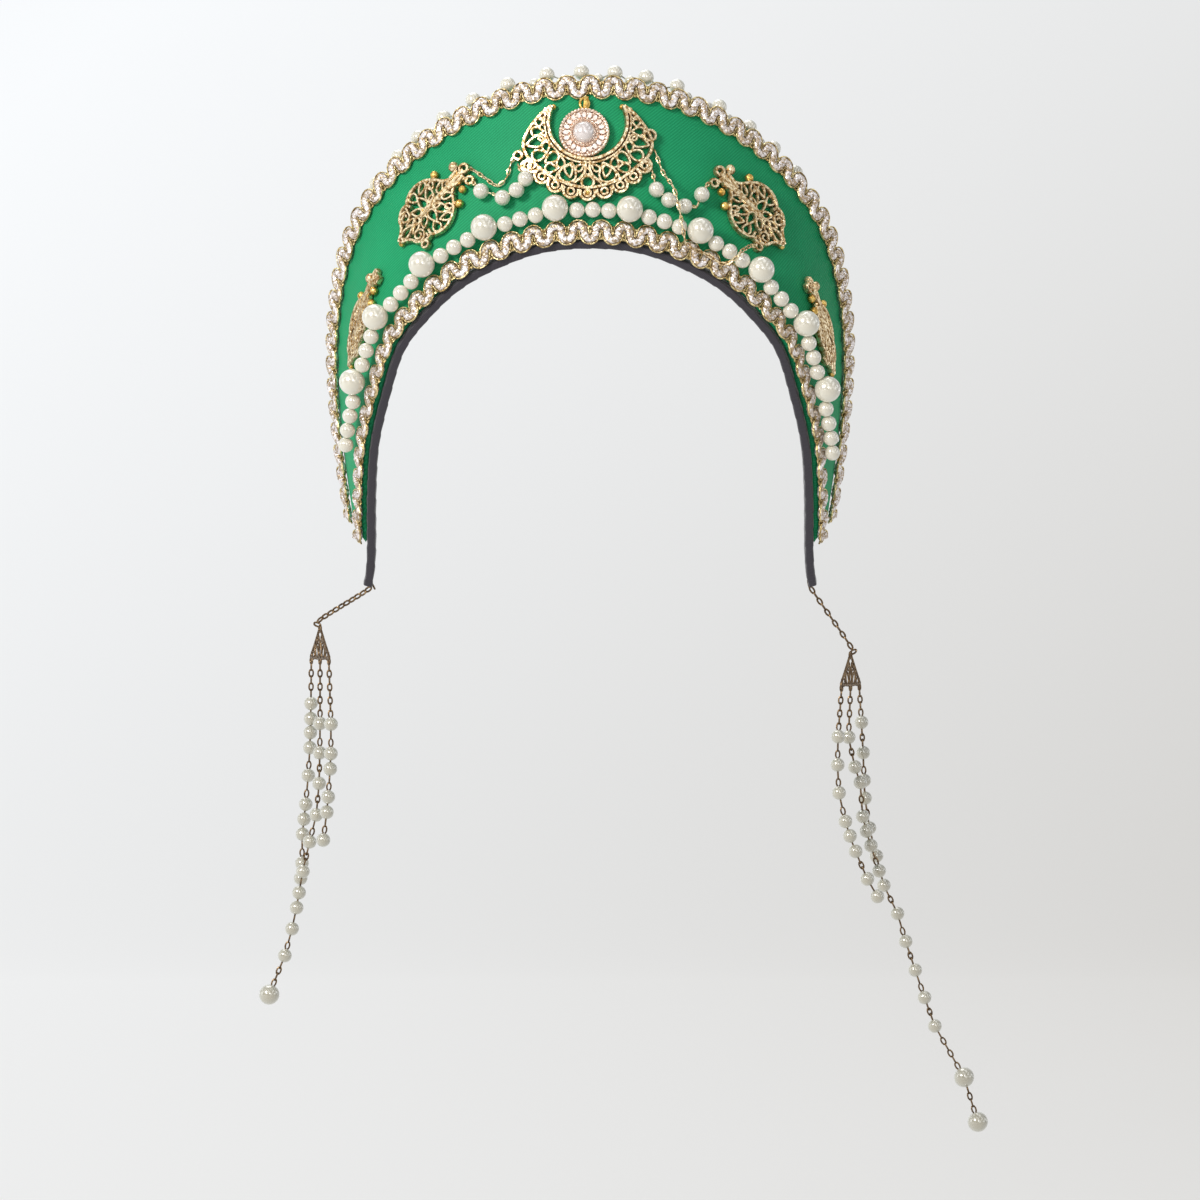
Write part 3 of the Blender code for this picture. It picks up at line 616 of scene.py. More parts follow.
def start_material(name, **values):
    """Material with a Principled shader, its plain values set on the shader's own sockets."""
    material = bpy.data.materials.new(name)
    material.use_nodes = True
    tree = material.node_tree
    shader = tree.nodes["Principled BSDF"]
    for key, value in values.items():
        shader.inputs[key.replace("_", " ")].default_value = value
    return material, tree, shader


def place_group(tree, group, **values):
    """A group node in a material, with its own values."""
    node = add_node(tree, "Group", node_tree=group)
    for key, value in values.items():
        node.inputs[key].default_value = value
    return node


def by_uv(tree, *nodes):
    """Lay patterns by the piece's UV map."""
    spot = add_node(tree, "UVMap", uv_map="UVMap")
    join(tree, *[(spot, "UV", node, "Vector") for node in nodes])


def by_object(tree, *nodes):
    """Lay patterns by the piece's Object coordinates."""
    spot = add_node(tree, "TexCoord")
    join(tree, *[(spot, "Object", node, "Vector") for node in nodes])


def bump(tree, shader, source, output, distance, strength=1.0):
    """Bump node from a height, feeding the shader's normal."""
    node = add_node(tree, "Bump", {"Strength": strength, "Distance": distance})
    join(tree, (source, output, node, "Height"), (node, "Normal", shader, "Normal"))


def solid(values, share=1.0):
    """A colour as four numbers, darkened or lightened by a share."""
    return (*[min(1.0, value * share) for value in values], 1.0)


TWILL_SLOPE = math.radians(38.0)
WEFT_SHARE = 0.45


@lru_cache(maxsize=None)
def satin_material():
    """Green satin: diagonal twill lines with fine cross threads, and a soft sheen."""
    material, tree, shader = start_material(
        "green_satin", Roughness=0.55, Sheen_Weight=0.02, Sheen_Roughness=0.4,
        Specular_IOR_Level=0.12,
    )
    climb = math.sin(TWILL_SLOPE)
    run = math.cos(TWILL_SLOPE)
    pitch = sizes().twill_pitch
    twill = place_group(
        tree, woven_lines(), Direction=(climb, -run, 0.0), Pitch=pitch, Waver=0.35
    )
    weft = place_group(
        tree, woven_lines(), Direction=(run, climb, 0.0), Pitch=pitch * WEFT_SHARE, Waver=0.5
    )
    shades = place_group(
        tree, drift(), Colour=solid(colours().satin), Other=solid(colours().satin, 0.86),
        Scale=70.0, Sharpness=2.0,
    )
    by_uv(tree, twill, weft, shades)
    heights = maths(tree, "MULTIPLY_ADD", {1: 0.25})
    strength = maths(tree, "MULTIPLY_ADD", {1: 0.65, 2: 0.3}, True)
    join(tree, (weft, "Mask", heights, 0), (twill, "Mask", heights, 2), (heights, 0, strength, 0))
    deep = solid(colours().satin_deep)
    colour_mix(tree, (strength, 0), deep, (shades, "Colour"), shader, "Base Color")
    bump(tree, shader, heights, 0, 0.05 * MM, 0.7)
    return material


Lines = namedtuple("Lines", "direction pitch waver depth")
RIBS = Lines((1.0, -0.35, 0.0), 0.6 * MM, 0.3, 0.06 * MM)
PLY = Lines((1.0, 1.0, 0.0), 0.5 * MM, 0.2, 0.08 * MM)


def ribbed(name, lines, low, high, **values):
    """Cloth or thread with one set of fine lines."""
    material, tree, shader = start_material(name, **values)
    ribs = place_group(
        tree, woven_lines(), Direction=lines.direction, Pitch=lines.pitch, Waver=lines.waver
    )
    by_uv(tree, ribs)
    colour_mix(tree, (ribs, "Mask"), low, high, shader, "Base Color")
    bump(tree, shader, ribs, "Mask", lines.depth, 0.8)
    return material


@lru_cache(maxsize=None)
def ribbon_material():
    """Nearly black ribbon with fine ribs."""
    tint = colours().ribbon
    return ribbed(
        "dark_ribbon", RIBS, solid(tint, 0.6), solid(tint, 1.5), Roughness=0.55, Sheen_Weight=0.3
    )


@lru_cache(maxsize=None)
def stringing_thread():
    """Pale thread that the pearls are strung on."""
    return ribbed(
        "thread", PLY, (0.32, 0.30, 0.22, 1.0), (0.66, 0.64, 0.54, 1.0), Roughness=0.6
    )


Yarn = namedtuple("Yarn", "dark pitch glints roughness")
# The first colour of each yarn is painted shade, for the gaps between the strands and the dull cells
# between the glints.
YARNS = {
    "silver_cord": Yarn((0.45, 0.33, 0.20, 1.0), 1.5 * MM, 1050.0, 0.34),
    "gold_cord": Yarn((0.27, 0.17, 0.05, 1.0), 1.1 * MM, 1500.0, 0.3),
}


@lru_cache(maxsize=None)
def metallic_yarn(name):
    """Twisted metallic yarn: slanted strands with painted glints, and painted shade in the gaps between
    them.
    """
    yarn = YARNS[name]
    material, tree, shader = start_material(name, Metallic=0.6, Roughness=yarn.roughness)
    twist = place_group(
        tree, woven_lines(), Direction=(1.0, 0.8, 0.0), Pitch=yarn.pitch, Waver=0.5
    )
    glints = place_group(tree, flecks(), Scale=yarn.glints)
    by_uv(tree, twist, glints)
    # The mix paints shade between the slanted strands and in random dark cells, and painted glints in
    # the bright cells.
    blend = maths(tree, "MULTIPLY_ADD", {1: 0.45}, True)
    part = maths(tree, "MULTIPLY_ADD", {1: 1.9, 2: -0.65})
    join(tree, (glints, "Mask", part, 0), (twist, "Mask", blend, 0), (part, 0, blend, 2))
    bright = solid(getattr(colours(), name))
    colour_mix(tree, (blend, 0), yarn.dark, bright, shader, "Base Color")
    bump(tree, shader, glints, "Height", 0.3 * MM)
    return material


Lacquer = namedtuple("Lacquer", "tint rim rim_share roughness")
# The outline colour is painted light: a paler painted sheen on the ivory pearls, and a darker painted
# shade on the blush pearl.
LACQUERS = {
    "ivory_pearl": Lacquer("ivory", "ivory_rim", 1.0, 0.34),
    "strand_pearl": Lacquer("ivory_strand", "ivory_rim", 0.7, 0.34),
    "blush_pearl": Lacquer("blush", "blush", 0.75, 0.16),
}


@lru_cache(maxsize=None)
def lacquered(name):
    """Pearl lacquer under a clear gloss: a soft body whose colour turns into a painted sheen towards
    its outline; on the blush pearl it turns into a painted shade.
    """
    lacquer = LACQUERS[name]
    material, tree, shader = start_material(
        name, Roughness=lacquer.roughness, Metallic=0.06, Coat_Weight=1.0, Coat_Roughness=0.08,
        Coat_IOR=2.3,
    )
    tint = getattr(colours(), lacquer.tint)
    rim = solid(getattr(colours(), lacquer.rim), lacquer.rim_share)
    shades = place_group(
        tree, drift(), Colour=solid(tint), Other=solid(tint, 0.9), Scale=55.0, Sharpness=3.0
    )
    fine = add_node(tree, "TexNoise", {"Scale": 900.0, "Detail": 2.0})
    by_object(tree, shades, fine)
    # Painted sheen and shade: the colour turns towards the outline colour where the surface turns away
    # from the view.
    outline = add_node(tree, "LayerWeight", {"Blend": 0.5})
    colour_mix(tree, (outline, "Facing"), (shades, "Colour"), rim, shader, "Base Color")
    bump(tree, shader, fine, "Fac", 0.02 * MM, 0.25)
    return material


Plating = namedtuple("Plating", "low_spots roughness")
# The first colour of each plating is painted shade, mixed in small random patches over the metal's own
# colour.
PLATINGS = {
    "pale_gold": Plating((0.34, 0.19, 0.06), 0.22),
    "yellow_gold": Plating((0.45, 0.24, 0.04), 0.2),
    "rose_gold": Plating((0.80, 0.58, 0.44), 0.22),
    "dark_brass": Plating((0.09, 0.055, 0.03), 0.3),
}


@lru_cache(maxsize=None)
def plated(name):
    """Plated brass: random patches of polished metal and of duller metal darkened with painted shade,
    and small dents.
    """
    plating = PLATINGS[name]
    material, tree, shader = start_material(name, Metallic=0.85)
    # Painted shade: the colour wanders at random into the darker plating colour, which is also rougher.
    shades = place_group(
        tree, drift(), Colour=solid(getattr(colours(), name)), Other=solid(plating.low_spots),
        Scale=900.0, Sharpness=4.0,
    )
    dents = add_node(tree, "TexNoise", {"Scale": 900.0, "Detail": 2.0})
    by_object(tree, shades, dents)
    rough = maths(tree, "MULTIPLY_ADD", {1: 0.22, 2: plating.roughness})
    join(
        tree, (shades, "Colour", shader, "Base Color"), (shades, "Mask", rough, 0),
        (rough, 0, shader, "Roughness"),
    )
    bump(tree, shader, dents, "Fac", 0.3 * MM, 0.8)
    return material


@lru_cache(maxsize=None)
def stone_glass():
    """Small foiled stones: bright, glossy facets in pale pink shades that wander at random."""
    material, tree, shader = start_material(
        "foiled_stone", Metallic=0.75, Roughness=0.06, Coat_Weight=1.0, Coat_Roughness=0.02
    )
    shades = place_group(
        tree, drift(), Colour=(1.0, 0.93, 0.89, 1.0), Other=(0.84, 0.66, 0.55, 1.0),
        Scale=500.0, Sharpness=5.0,
    )
    by_object(tree, shades)
    join(tree, (shades, "Colour", shader, "Base Color"))
    return material


# Panel, band and braids
PANEL_STATIONS = 220
PROFILE_ROWS = 18
PROFILE_CORNER = 3
CLOTH_MARGIN = 3.0 * MM             # cloth beyond the outer braid's middle line, and the inner's
CLOTH_FOLD = 2.0 * MM
BACK_SHIFT = 0.5                    # keeps the back's twill apart from the front's on the UV map
BACK_FROM = -0.6 * PANEL_THICKNESS


def panel_profile(low, high):
    """Round-edged section of the panel: pairs of distance up and lift, from low edge over the front."""
    radius = 0.5 * PANEL_THICKNESS
    front = [
        (low + radius + (high - low - 2.0 * radius) * row / PROFILE_ROWS, 0.0)
        for row in range(PROFILE_ROWS + 1)
    ]
    corner = []
    for step in range(1, PROFILE_CORNER + 1):
        turn = math.pi * step / (PROFILE_CORNER + 1)
        corner.append((high - radius + radius * math.sin(turn), radius * (math.cos(turn) - 1.0)))
    back = [(up, -PANEL_THICKNESS) for up, _ in reversed(front)]
    low_corner = [(low + high - up, -PANEL_THICKNESS - lift) for up, lift in corner]
    return front + corner + back + low_corner


def flat_pattern():
    """Where each station of the panel lies in the cloth's flat cut, with its level and upright."""
    places = []
    at = Vector((0.0, 0.0))
    before = None
    for u in even_sections(lambda u: 0.5 * panel_width(u), LAST_SECTION, PANEL_STATIONS):
        inner, _, facing, _ = panel_rise(u)
        level = UPWARDS.cross(-facing).normalized()
        upright = (-facing).cross(level).normalized()
        level = -level
        upright = -upright if upright.z < 0.0 else upright
        if before is not None:
            step = inner - before
            at = at + Vector((step.dot(level), step.dot(upright)))
        before = inner
        places.append((u, inner, level, upright, at.copy()))
    return places


class HEADBAND_OT_panel(bpy.types.Operator):
    """Make the padded crescent covered with green satin."""

    bl_idname = "headband.panel"
    bl_label = "Satin panel"

    def execute(self, context):
        places = flat_pattern()
        rings = [panel_profile(-CLOTH_FOLD, panel_width(row[0]) + CLOTH_MARGIN) for row in places]
        sides = len(rings[0])
        bm = bmesh.new()
        uv = uv_map(bm)
        bmesh.ops.create_grid(
            bm, x_segments=PANEL_STATIONS, y_segments=sides, size=1.0, calc_uvs=True
        )
        spots = {}
        for vert in bm.verts:
            station = grid_step(vert.co.x, PANEL_STATIONS)
            spots[vert] = (station, *rings[station][grid_step(vert.co.y, sides) % sides])
        for face in bm.faces:
            for loop in face.loops:
                station, up, lift = spots[loop.vert]
                u, inner, level, upright, at = places[station]
                away = panel_point(u, up) - inner
                back = BACK_SHIFT if lift < BACK_FROM else 0.0
                loop[uv].uv = (at.x + away.dot(level) + back, at.y + away.dot(upright))
        for vert, (station, up, lift) in spots.items():
            if station in (0, PANEL_STATIONS):
                lift = -0.5 * PANEL_THICKNESS
            vert.co = on_panel(places[station][0], up, lift)
        bmesh.ops.remove_doubles(bm, verts=bm.verts, dist=MESH_MERGE)
        panel = finish_piece(
            "satin_panel", bm, [satin_material()], "green_satin", "hood_panel", smooth_angle=60.0
        )
        return {"FINISHED"}


BAND_WIDTH = 9.0 * MM
BAND_THICKNESS = 1.8 * MM
BAND_FORWARD = 1.6 * MM             # how far the band shows in front of the panel's back face
BAND_TILT = math.radians(22.3)      # the band's plane leans back by this much
BAND_REACH = 9.75                   # section at which the band ends
BAND_STATIONS = 360
BAND_SIDES = 20
BAND_SQUARENESS = 0.35
BAND_RISE = 0.95 * MM               # extra thickness towards the panel, on each side of the middle
RIBBON_LAP = 0.16                   # depth of each turn's step, and how far a turn slants
RIBBON_SLANT = 0.35


def band_middle(u):
    """Middle of the band at a section, the way its width runs and the way in to the head."""
    axis = Vector((0.0, math.cos(BAND_TILT), math.sin(BAND_TILT)))
    low = -PANEL_MARGIN
    corner = panel_point(u, low) - panel_normal(u, low) * PANEL_THICKNESS
    along = panel_point(u + SECTION_STEP, low) - panel_point(u - SECTION_STEP, low)
    inward = axis.cross(along).normalized()
    front = 0.5 * BAND_WIDTH - BAND_FORWARD - 0.5 * PANEL_THICKNESS
    return corner + inward * (GAP + 0.5 * BAND_THICKNESS) + axis * front, axis, inward


def squared(value):
    """A cosine or sine pushed outwards, which squares a circle."""
    return math.copysign(abs(value) ** BAND_SQUARENESS, value)


class HEADBAND_OT_band(bpy.types.Operator):
    """Make the thin band under the panel, wound with dark ribbon."""

    bl_idname = "headband.band"
    bl_label = "Ribbon band"

    def execute(self, context):
        middles = [band_middle(u) for u in even_sections(lambda u: 0.0, BAND_REACH, BAND_STATIONS)]
        spacing = route_length([middle[0] for middle in middles]) / BAND_STATIONS
        wrap = sizes().ribbon_wrap
        rings = []
        for step, (middle, axis, inward) in enumerate(middles):
            ring = []
            for side in range(BAND_SIDES):
                turn = FULL_TURN * side / BAND_SIDES
                wide = squared(math.cos(turn))
                lap = (step * spacing / wrap + RIBBON_SLANT * wide) % 1.0
                swell = (0.5 * BAND_THICKNESS + BAND_RISE) * (1.0 - RIBBON_LAP * (1.0 - lap))
                ring.append(
                    middle - inward * BAND_RISE + axis * wide * 0.5 * BAND_WIDTH
                    + inward * squared(math.sin(turn)) * swell
                )
            rings.append(ring)
        bm = bmesh.new()
        skinned(bm, rings)
        finish_piece(
            "ribbon_band", bm, [ribbon_material()], "dark_ribbon", "headband", smooth_angle=30.0
        )
        return {"FINISHED"}


SCALLOP_STEPS = 40
BRAID_BULGE = 0.06                  # how much a bend bulges sideways
CORD_LAY = 4.6 * MM
CORD_HIGH = 1.3 * MM
CORD_LIFT = CORD_HIGH + 0.1 * MM
EDGE_LIFT = CORD_LIFT + 0.1 * MM
EDGE_APART = 0.75                   # these four are shares of the thin cords' radius
EDGE_HIGH = 1.3
THREAD_WIDE = 1.9
THREAD_HIGH = 1.2
CORD_SIDES = 12
THREAD_SIDES = 6
CROSS_THREADS = (-2.1 * MM, -0.7 * MM, 0.7 * MM, 2.1 * MM)
THREAD_LIFT = 0.9 * MM
THREAD_WAVE = 0.3 * MM
THREAD_SKIP = 4
INNER_BRAID_UP = -0.6 * MM
BRAID_OVERHANG = 0.1 * MM
FLARE = 0.22                        # the outer braid leans off the panel towards the sides
FLARE_FOOT = -2.5 * MM
FLARE_START = 2.0
FLARE_FULL = 5.0


def rim_flare(u, up):
    """How far the outer braid stands off the panel, more towards the sides and its outer edge."""
    share = min(max((abs(u) - FLARE_START) / (FLARE_FULL - FLARE_START), 0.0), 1.0)
    return FLARE * share * max(up - FLARE_FOOT, 0.0)


def braid_cords(bm, up_of, flare_of):
    """Thick cord winding up and down in scallops, a thin cord at each side, and cross threads."""
    pitch = sizes().braid_pitch
    cord = sizes().braid_cord
    edge = sizes().braid_edge
    count = round(route_length(section_walk(up_of, LAST_SECTION)[1]) / pitch)
    steps = count * SCALLOP_STEPS
    sections = even_sections(up_of, LAST_SECTION, steps)
    reach = BRAID_HALF_WIDE - cord + BRAID_OVERHANG
    offset = cord + EDGE_APART * edge

    def winding(step, aside):
        turn = FULL_TURN * step / SCALLOP_STEPS
        ahead = step / SCALLOP_STEPS + BRAID_BULGE * math.sin(2.0 * turn)
        run = (1.0 + 2.0 * FULL_TURN * BRAID_BULGE * math.cos(2.0 * turn)) * pitch
        climb = -FULL_TURN * reach * math.sin(turn)
        size = math.hypot(run, climb)
        along = ahead * pitch - climb / size * aside
        return along / pitch * SCALLOP_STEPS, reach * math.cos(turn) + run / size * aside

    def laid(place, up, height):
        place = min(max(place, 0.0), steps)
        cell = min(int(place), steps - 1)
        u = sections[cell] + (sections[cell + 1] - sections[cell]) * (place - cell)
        point = on_panel(u, up_of(u) + up, height + flare_of(u, up))
        return point, panel_normal(u, up_of(u) + up)

    for aside, wide, high, height, sides, material, lay in (
        (0.0, cord, CORD_HIGH, CORD_LIFT, CORD_SIDES, 0, CORD_LAY),
        (offset, edge, EDGE_HIGH * edge, EDGE_LIFT, THREAD_SIDES, 1, 0.0),
        (-offset, edge, EDGE_HIGH * edge, EDGE_LIFT, THREAD_SIDES, 1, 0.0),
    ):
        spots = [laid(*winding(step, aside), height) for step in range(steps + 1)]
        swept(bm, *zip(*spots), wide, high, sides, material=material, lay=lay)
    for up in CROSS_THREADS:
        spots = []
        for step in range(0, steps + 1, THREAD_SKIP):
            over = math.cos(2.0 * FULL_TURN * step / SCALLOP_STEPS)
            spots.append(laid(float(step), up, THREAD_LIFT - THREAD_WAVE * over))
        swept(
            bm, *zip(*spots), THREAD_WIDE * edge, THREAD_HIGH * edge, THREAD_SIDES, material=1
        )


class HEADBAND_OT_braids(bpy.types.Operator):
    """Make the gimp braids along the panel's outer and inner edges."""

    bl_idname = "headband.braids"
    bl_label = "Gimp braids"

    def execute(self, context):
        yarns = [metallic_yarn("silver_cord"), metallic_yarn("gold_cord")]
        for side, up_of, flare_of in (
            ("outer", panel_width, rim_flare),
            ("inner", lambda u: INNER_BRAID_UP, lambda u, up: 0.0),
        ):
            bm = bmesh.new()
            braid_cords(bm, up_of, flare_of)
            finish_piece(
                side + "_gimp", bm, yarns, "lurex_braid", side + "_braid", smooth_angle=60.0
            )
        return {"FINISHED"}


# Strings of pearls on the panel
LARGE_PEARL_UP = 8.8 * MM
SMALL_PEARL_UP = 7.6 * MM
PEARL_CLOSING_LEFT = 0.45 * MM      # how much closer to the braid the row runs at each section
PEARL_CLOSING_RIGHT = 0.8 * MM
SMALL_BETWEEN = 3
FIRST_LARGE_AT = -0.64
LARGE_EACH_SIDE = 5
LAST_SMALL_PEARLS = 4
PEARL_WALK = 0.004
FINE_FROM = 3.5 * MM                # radius from which a pearl gets more faces
PEARL_FACES = (20, 13)              # faces across and down
FINE_PEARL_FACES = (28, 18)
THREAD = 0.3 * MM
THREAD_SPACING = 2.0 * MM
THREAD_TOP = Vector((0.0, -0.8, 0.6))


def pearl_knot(u, radius):
    """Centre and radius of a pearl of the row, on the panel and clear of the inner braid's edge."""
    start = LARGE_PEARL_UP if radius == sizes().large_pearl else SMALL_PEARL_UP
    up = start - (PEARL_CLOSING_RIGHT * u if u > 0.0 else -PEARL_CLOSING_LEFT * u)
    reach = radius + GAP
    beside = max(up - BRAID_HALF_WIDE, 0.0)
    lift = reach
    if beside < reach:
        lift = max(reach, GAP + BRAID_THICKNESS + math.sqrt(reach ** 2 - beside ** 2))
    return on_panel(u, up, lift), radius


def pearl_run(centre, last, direction, radii):
    """Pearls that touch one after another, starting beside the first large one."""
    u = FIRST_LARGE_AT
    knots = []
    for radius in radii:
        knot = (centre, last)
        while (knot[0] - centre).length < last + radius:
            u += direction * PEARL_WALK
            knot = pearl_knot(u, radius)
        centre = knot[0]
        last = radius
        knots.append(knot)
    return knots


def pearl(bm, centre, radius, along):
    """Pearl with its drilled ends along the string."""
    across, down = FINE_PEARL_FACES if radius > FINE_FROM else PEARL_FACES
    ball(bm, centre, radius, across, down, facing=along)


def pearl_string(name, knots, node):
    """Pearls on their thread."""
    bm = bmesh.new()
    last = len(knots) - 1
    for i, (centre, radius) in enumerate(knots):
        pearl(bm, centre, radius, knots[min(i + 1, last)][0] - knots[max(i - 1, 0)][0])
    route = smooth_route([knot[0] for knot in knots], THREAD_SPACING)
    swept(bm, route, THREAD_TOP, THREAD, THREAD, 6, material=1)
    finish_piece(name, bm, [lacquered("ivory_pearl"), stringing_thread()], "ivory_pearl", node)


class HEADBAND_OT_pearl_rows(bpy.types.Operator):
    """Make the string of large and small pearls above the inner braid."""

    bl_idname = "headband.pearl_rows"
    bl_label = "Pearl rows"

    def execute(self, context):
        large = sizes().large_pearl
        small = sizes().small_pearl
        group = [small] * SMALL_BETWEEN + [large]
        tail = [small] * LAST_SMALL_PEARLS
        first = pearl_knot(FIRST_LARGE_AT, large)
        left = pearl_run(first[0], large, -1.0, group * (LARGE_EACH_SIDE - 1) + tail)
        right = pearl_run(first[0], large + GAP, 1.0, group * LARGE_EACH_SIDE + tail)
        pearl_string("row_pearls_left", [first] + left, "pearl_row_left")
        pearl_string("row_pearls_right", right, "pearl_row_right")
        return {"FINISHED"}


# Pearls of the outer rim: where a front view shows each one across, in mm
RIM_PEARLS_SEEN = [
    -80.3, -72.0, -64.5, -55.0, -43.9, -30.9, -16.2, -3.2, 9.4, 21.1, 32.8, 48.6, 59.9, 69.0, 77.3,
    83.7,
]
RIM_PEARL_BACK = 2.3 * MM
RIM_REACH = 5.15                    # section at which the string ends
SEED_DROP = 1.3 * MM
HALVINGS = 30


def rim_point(u, rise):
    """Point of the rim string at section u, a distance above the panel's outer edge."""
    inner, outer = braid_lines(u)
    up = panel_width(u) + PANEL_MARGIN
    away = (outer - inner).normalized() * rise
    return panel_point(u, up) + away - panel_normal(u, up) * RIM_PEARL_BACK


def rim_section(seen_x):
    """Section at which a front view shows the rim string at seen_x mm."""
    low = -RIM_REACH
    high = RIM_REACH
    for _ in range(HALVINGS):
        u = 0.5 * (low + high)
        if as_seen(rim_point(u, sizes().small_pearl), 0) < seen_x * MM:
            low = u
        else:
            high = u
    return u


class HEADBAND_OT_rim_pearls(bpy.types.Operator):
    """Make the string of pearls that shows over the outer rim."""

    bl_idname = "headband.rim_pearls"
    bl_label = "Rim pearls"

    def execute(self, context):
        small = sizes().small_pearl
        seed = sizes().rim_seed
        places = [-RIM_REACH] + [rim_section(x) for x in RIM_PEARLS_SEEN] + [RIM_REACH]
        knots = []
        for near, far in zip(places, places[1:]):
            knots.append((rim_point(near, small + GAP), small))
            gap = (rim_point(far, small) - rim_point(near, small)).length - 2.0 * small
            between = max(1, int(gap / (2.0 * seed)))
            for step in range(between):
                u = near + (far - near) * (step + 1) / (between + 1)
                knots.append((rim_point(u, seed - SEED_DROP), seed))
        knots.append((rim_point(places[-1], small + GAP), small))
        pearl_string("rim_pearl_string", knots, "rim_pearls")
        return {"FINISHED"}


# Flat patterns, in mm, for the pierced plates
Drop = namedtuple("Drop", "x y length width turn")


def polar(angle, radius):
    """Flat place of an angle in degrees from straight down and a radius."""
    turn = math.radians(angle)
    return radius * math.sin(turn), -radius * math.cos(turn)


def scroll(x, y, outer, inner, start, end, steps=22):
    """Points of a spiral from one radius and angle to another; with equal radii it is an arc."""
    points = []
    for step in range(steps + 1):
        share = step / steps
        across, up = polar(start + (end - start) * share, outer + (inner - outer) * share)
        points.append((x + across, y + up))
    return points


def arc(x, y, radius, start, end, steps):
    """Points of an arc."""
    return scroll(x, y, radius, radius, start, end, steps)


def curved(corners, side=1, spacing=1.1):
    """Points of a smooth line through a few corners, mirrored if its side is -1."""
    route = smooth_route([Vector((x * side, y, 0.0)) for x, y in corners], spacing)
    return [(point.x, point.y) for point in route]


PLATE_LIFT = 0.55 * MM
WIRE_RISE = 1.35                    # how much higher than drawn a wire on the panel stands
WIRE_SIDES = 6
KNOB_SHOWN = 0.75                   # share of a knob's radius above the plate's foot
TEARDROP_HALF = 0.65                # makes a teardrop as wide as it says


class Plate:
    """Wires and knobs laid in place: places and radii in mm, thicknesses in shares of the wire."""

    def __init__(self, place, wire, lift=None):
        self.bm = bmesh.new()
        self.place = place
        self.wire = wire
        self.lift = lift

    def line(self, pattern, wide, high, closed=False):
        """Wire along a flat pattern, on the panel or at the plate's own lift."""
        high *= self.wire
        lift = self.lift
        if lift is None:
            high *= WIRE_RISE
            lift = PLATE_LIFT + high
        flats = [Vector((x * MM, y * MM, lift)) for x, y in pattern]
        points = [self.place(flat) for flat in flats]
        tops = [
            (self.place(flat + UPWARDS * MM) - point).normalized()
            for flat, point in zip(flats, points)
        ]
        swept(self.bm, points, tops, wide * self.wire, high, WIRE_SIDES, closed)

    def ring(self, x, y, radius, steps, wide, high):
        """Round eye."""
        self.line(arc(x, y, radius, 0.0, 360.0, steps)[:-1], wide, high, True)

    def drop(self, drop, wide, high, side=1, steps=14):
        """Teardrop whose point is up before it is turned, mirrored if its side is -1."""
        points = []
        for step in range(steps):
            t = FULL_TURN * step / steps
            across = TEARDROP_HALF * drop.width * math.sin(t) * math.sin(0.5 * t)
            x, y = turned(across, 0.5 * drop.length * math.cos(t), drop.turn * side)
            points.append((drop.x * side + x, drop.y + y))
        self.line(points, wide, high, True)

    def knob(self, x, y, radius, material=1):
        """Small ball resting on the panel."""
        radius *= MM
        centre = self.place(Vector((x * MM, y * MM, PLATE_LIFT + radius * KNOB_SHOWN)))
        ball(self.bm, centre, radius, material=material)


# Crescent plate, in mm and degrees from straight down, about the middle of its opening
CRESCENT_CENTRE = (-0.8, 47.0)
CRESCENT_END = 116.0
OPENING = 14.5
TIPS = 14.2
Polar = namedtuple("Polar", "angle radius")
CRESCENT_EDGE = [
    (0, 25.4), (27, 25.0), (48, 24.9), (60, 25.6), (70, 25.2), (79, 23.2), (88, 20.6), (98, 18.2),
    (108, 16.2), (116, 14.9),
]
SCALLOPS = [Polar(0, 27.2), Polar(13.2, 27.1), Polar(26.4, 26.8), Polar(39.2, 26.5), Polar(51.6, 26.3)]
SCALLOP_RADIUS = 2.75
SCALLOP_HALF_TURN = 112.0
Loop = namedtuple("Loop", "angle radius length width lean")
CRESCENT_LOOPS = [
    Loop(20, 20.6, 7.6, 6.4, 0), Loop(20, 20.2, 5.0, 3.0, 150), Loop(9, 17.9, 3.6, 2.2, 40),
    Loop(33, 18.3, 4.4, 3.0, -35), Loop(37, 22.2, 4.6, 3.6, 60), Loop(44, 19.3, 5.8, 3.8, 190),
    Loop(55, 21.6, 5.6, 4.2, 20), Loop(58, 18.2, 4.4, 3.0, 120), Loop(69, 20.8, 6.6, 4.4, 185),
    Loop(70, 17.6, 3.2, 2.4, 60), Loop(80, 18.8, 4.6, 3.4, 15), Loop(90, 18.0, 3.0, 2.8, 90),
    Loop(99, 17.0, 2.3, 2.2, 90), Loop(107, 16.0, 1.7, 1.7, 90),
]
CRESCENT_ARM = [(0.9, -15.2), (0.8, -18.5), (2.2, -21.2), (5.2, -23.6)]
CRESCENT_TAIL = [(5.6, -16.0), (10.2, -18.6), (12.4, -22.6)]
CRESCENT_EYES = [(-22.6, -16.4, 1.8), (-25.6, -12.2, 1.5), (22.8, -4.6, 2.1), (21.4, -16.6, 1.6)]


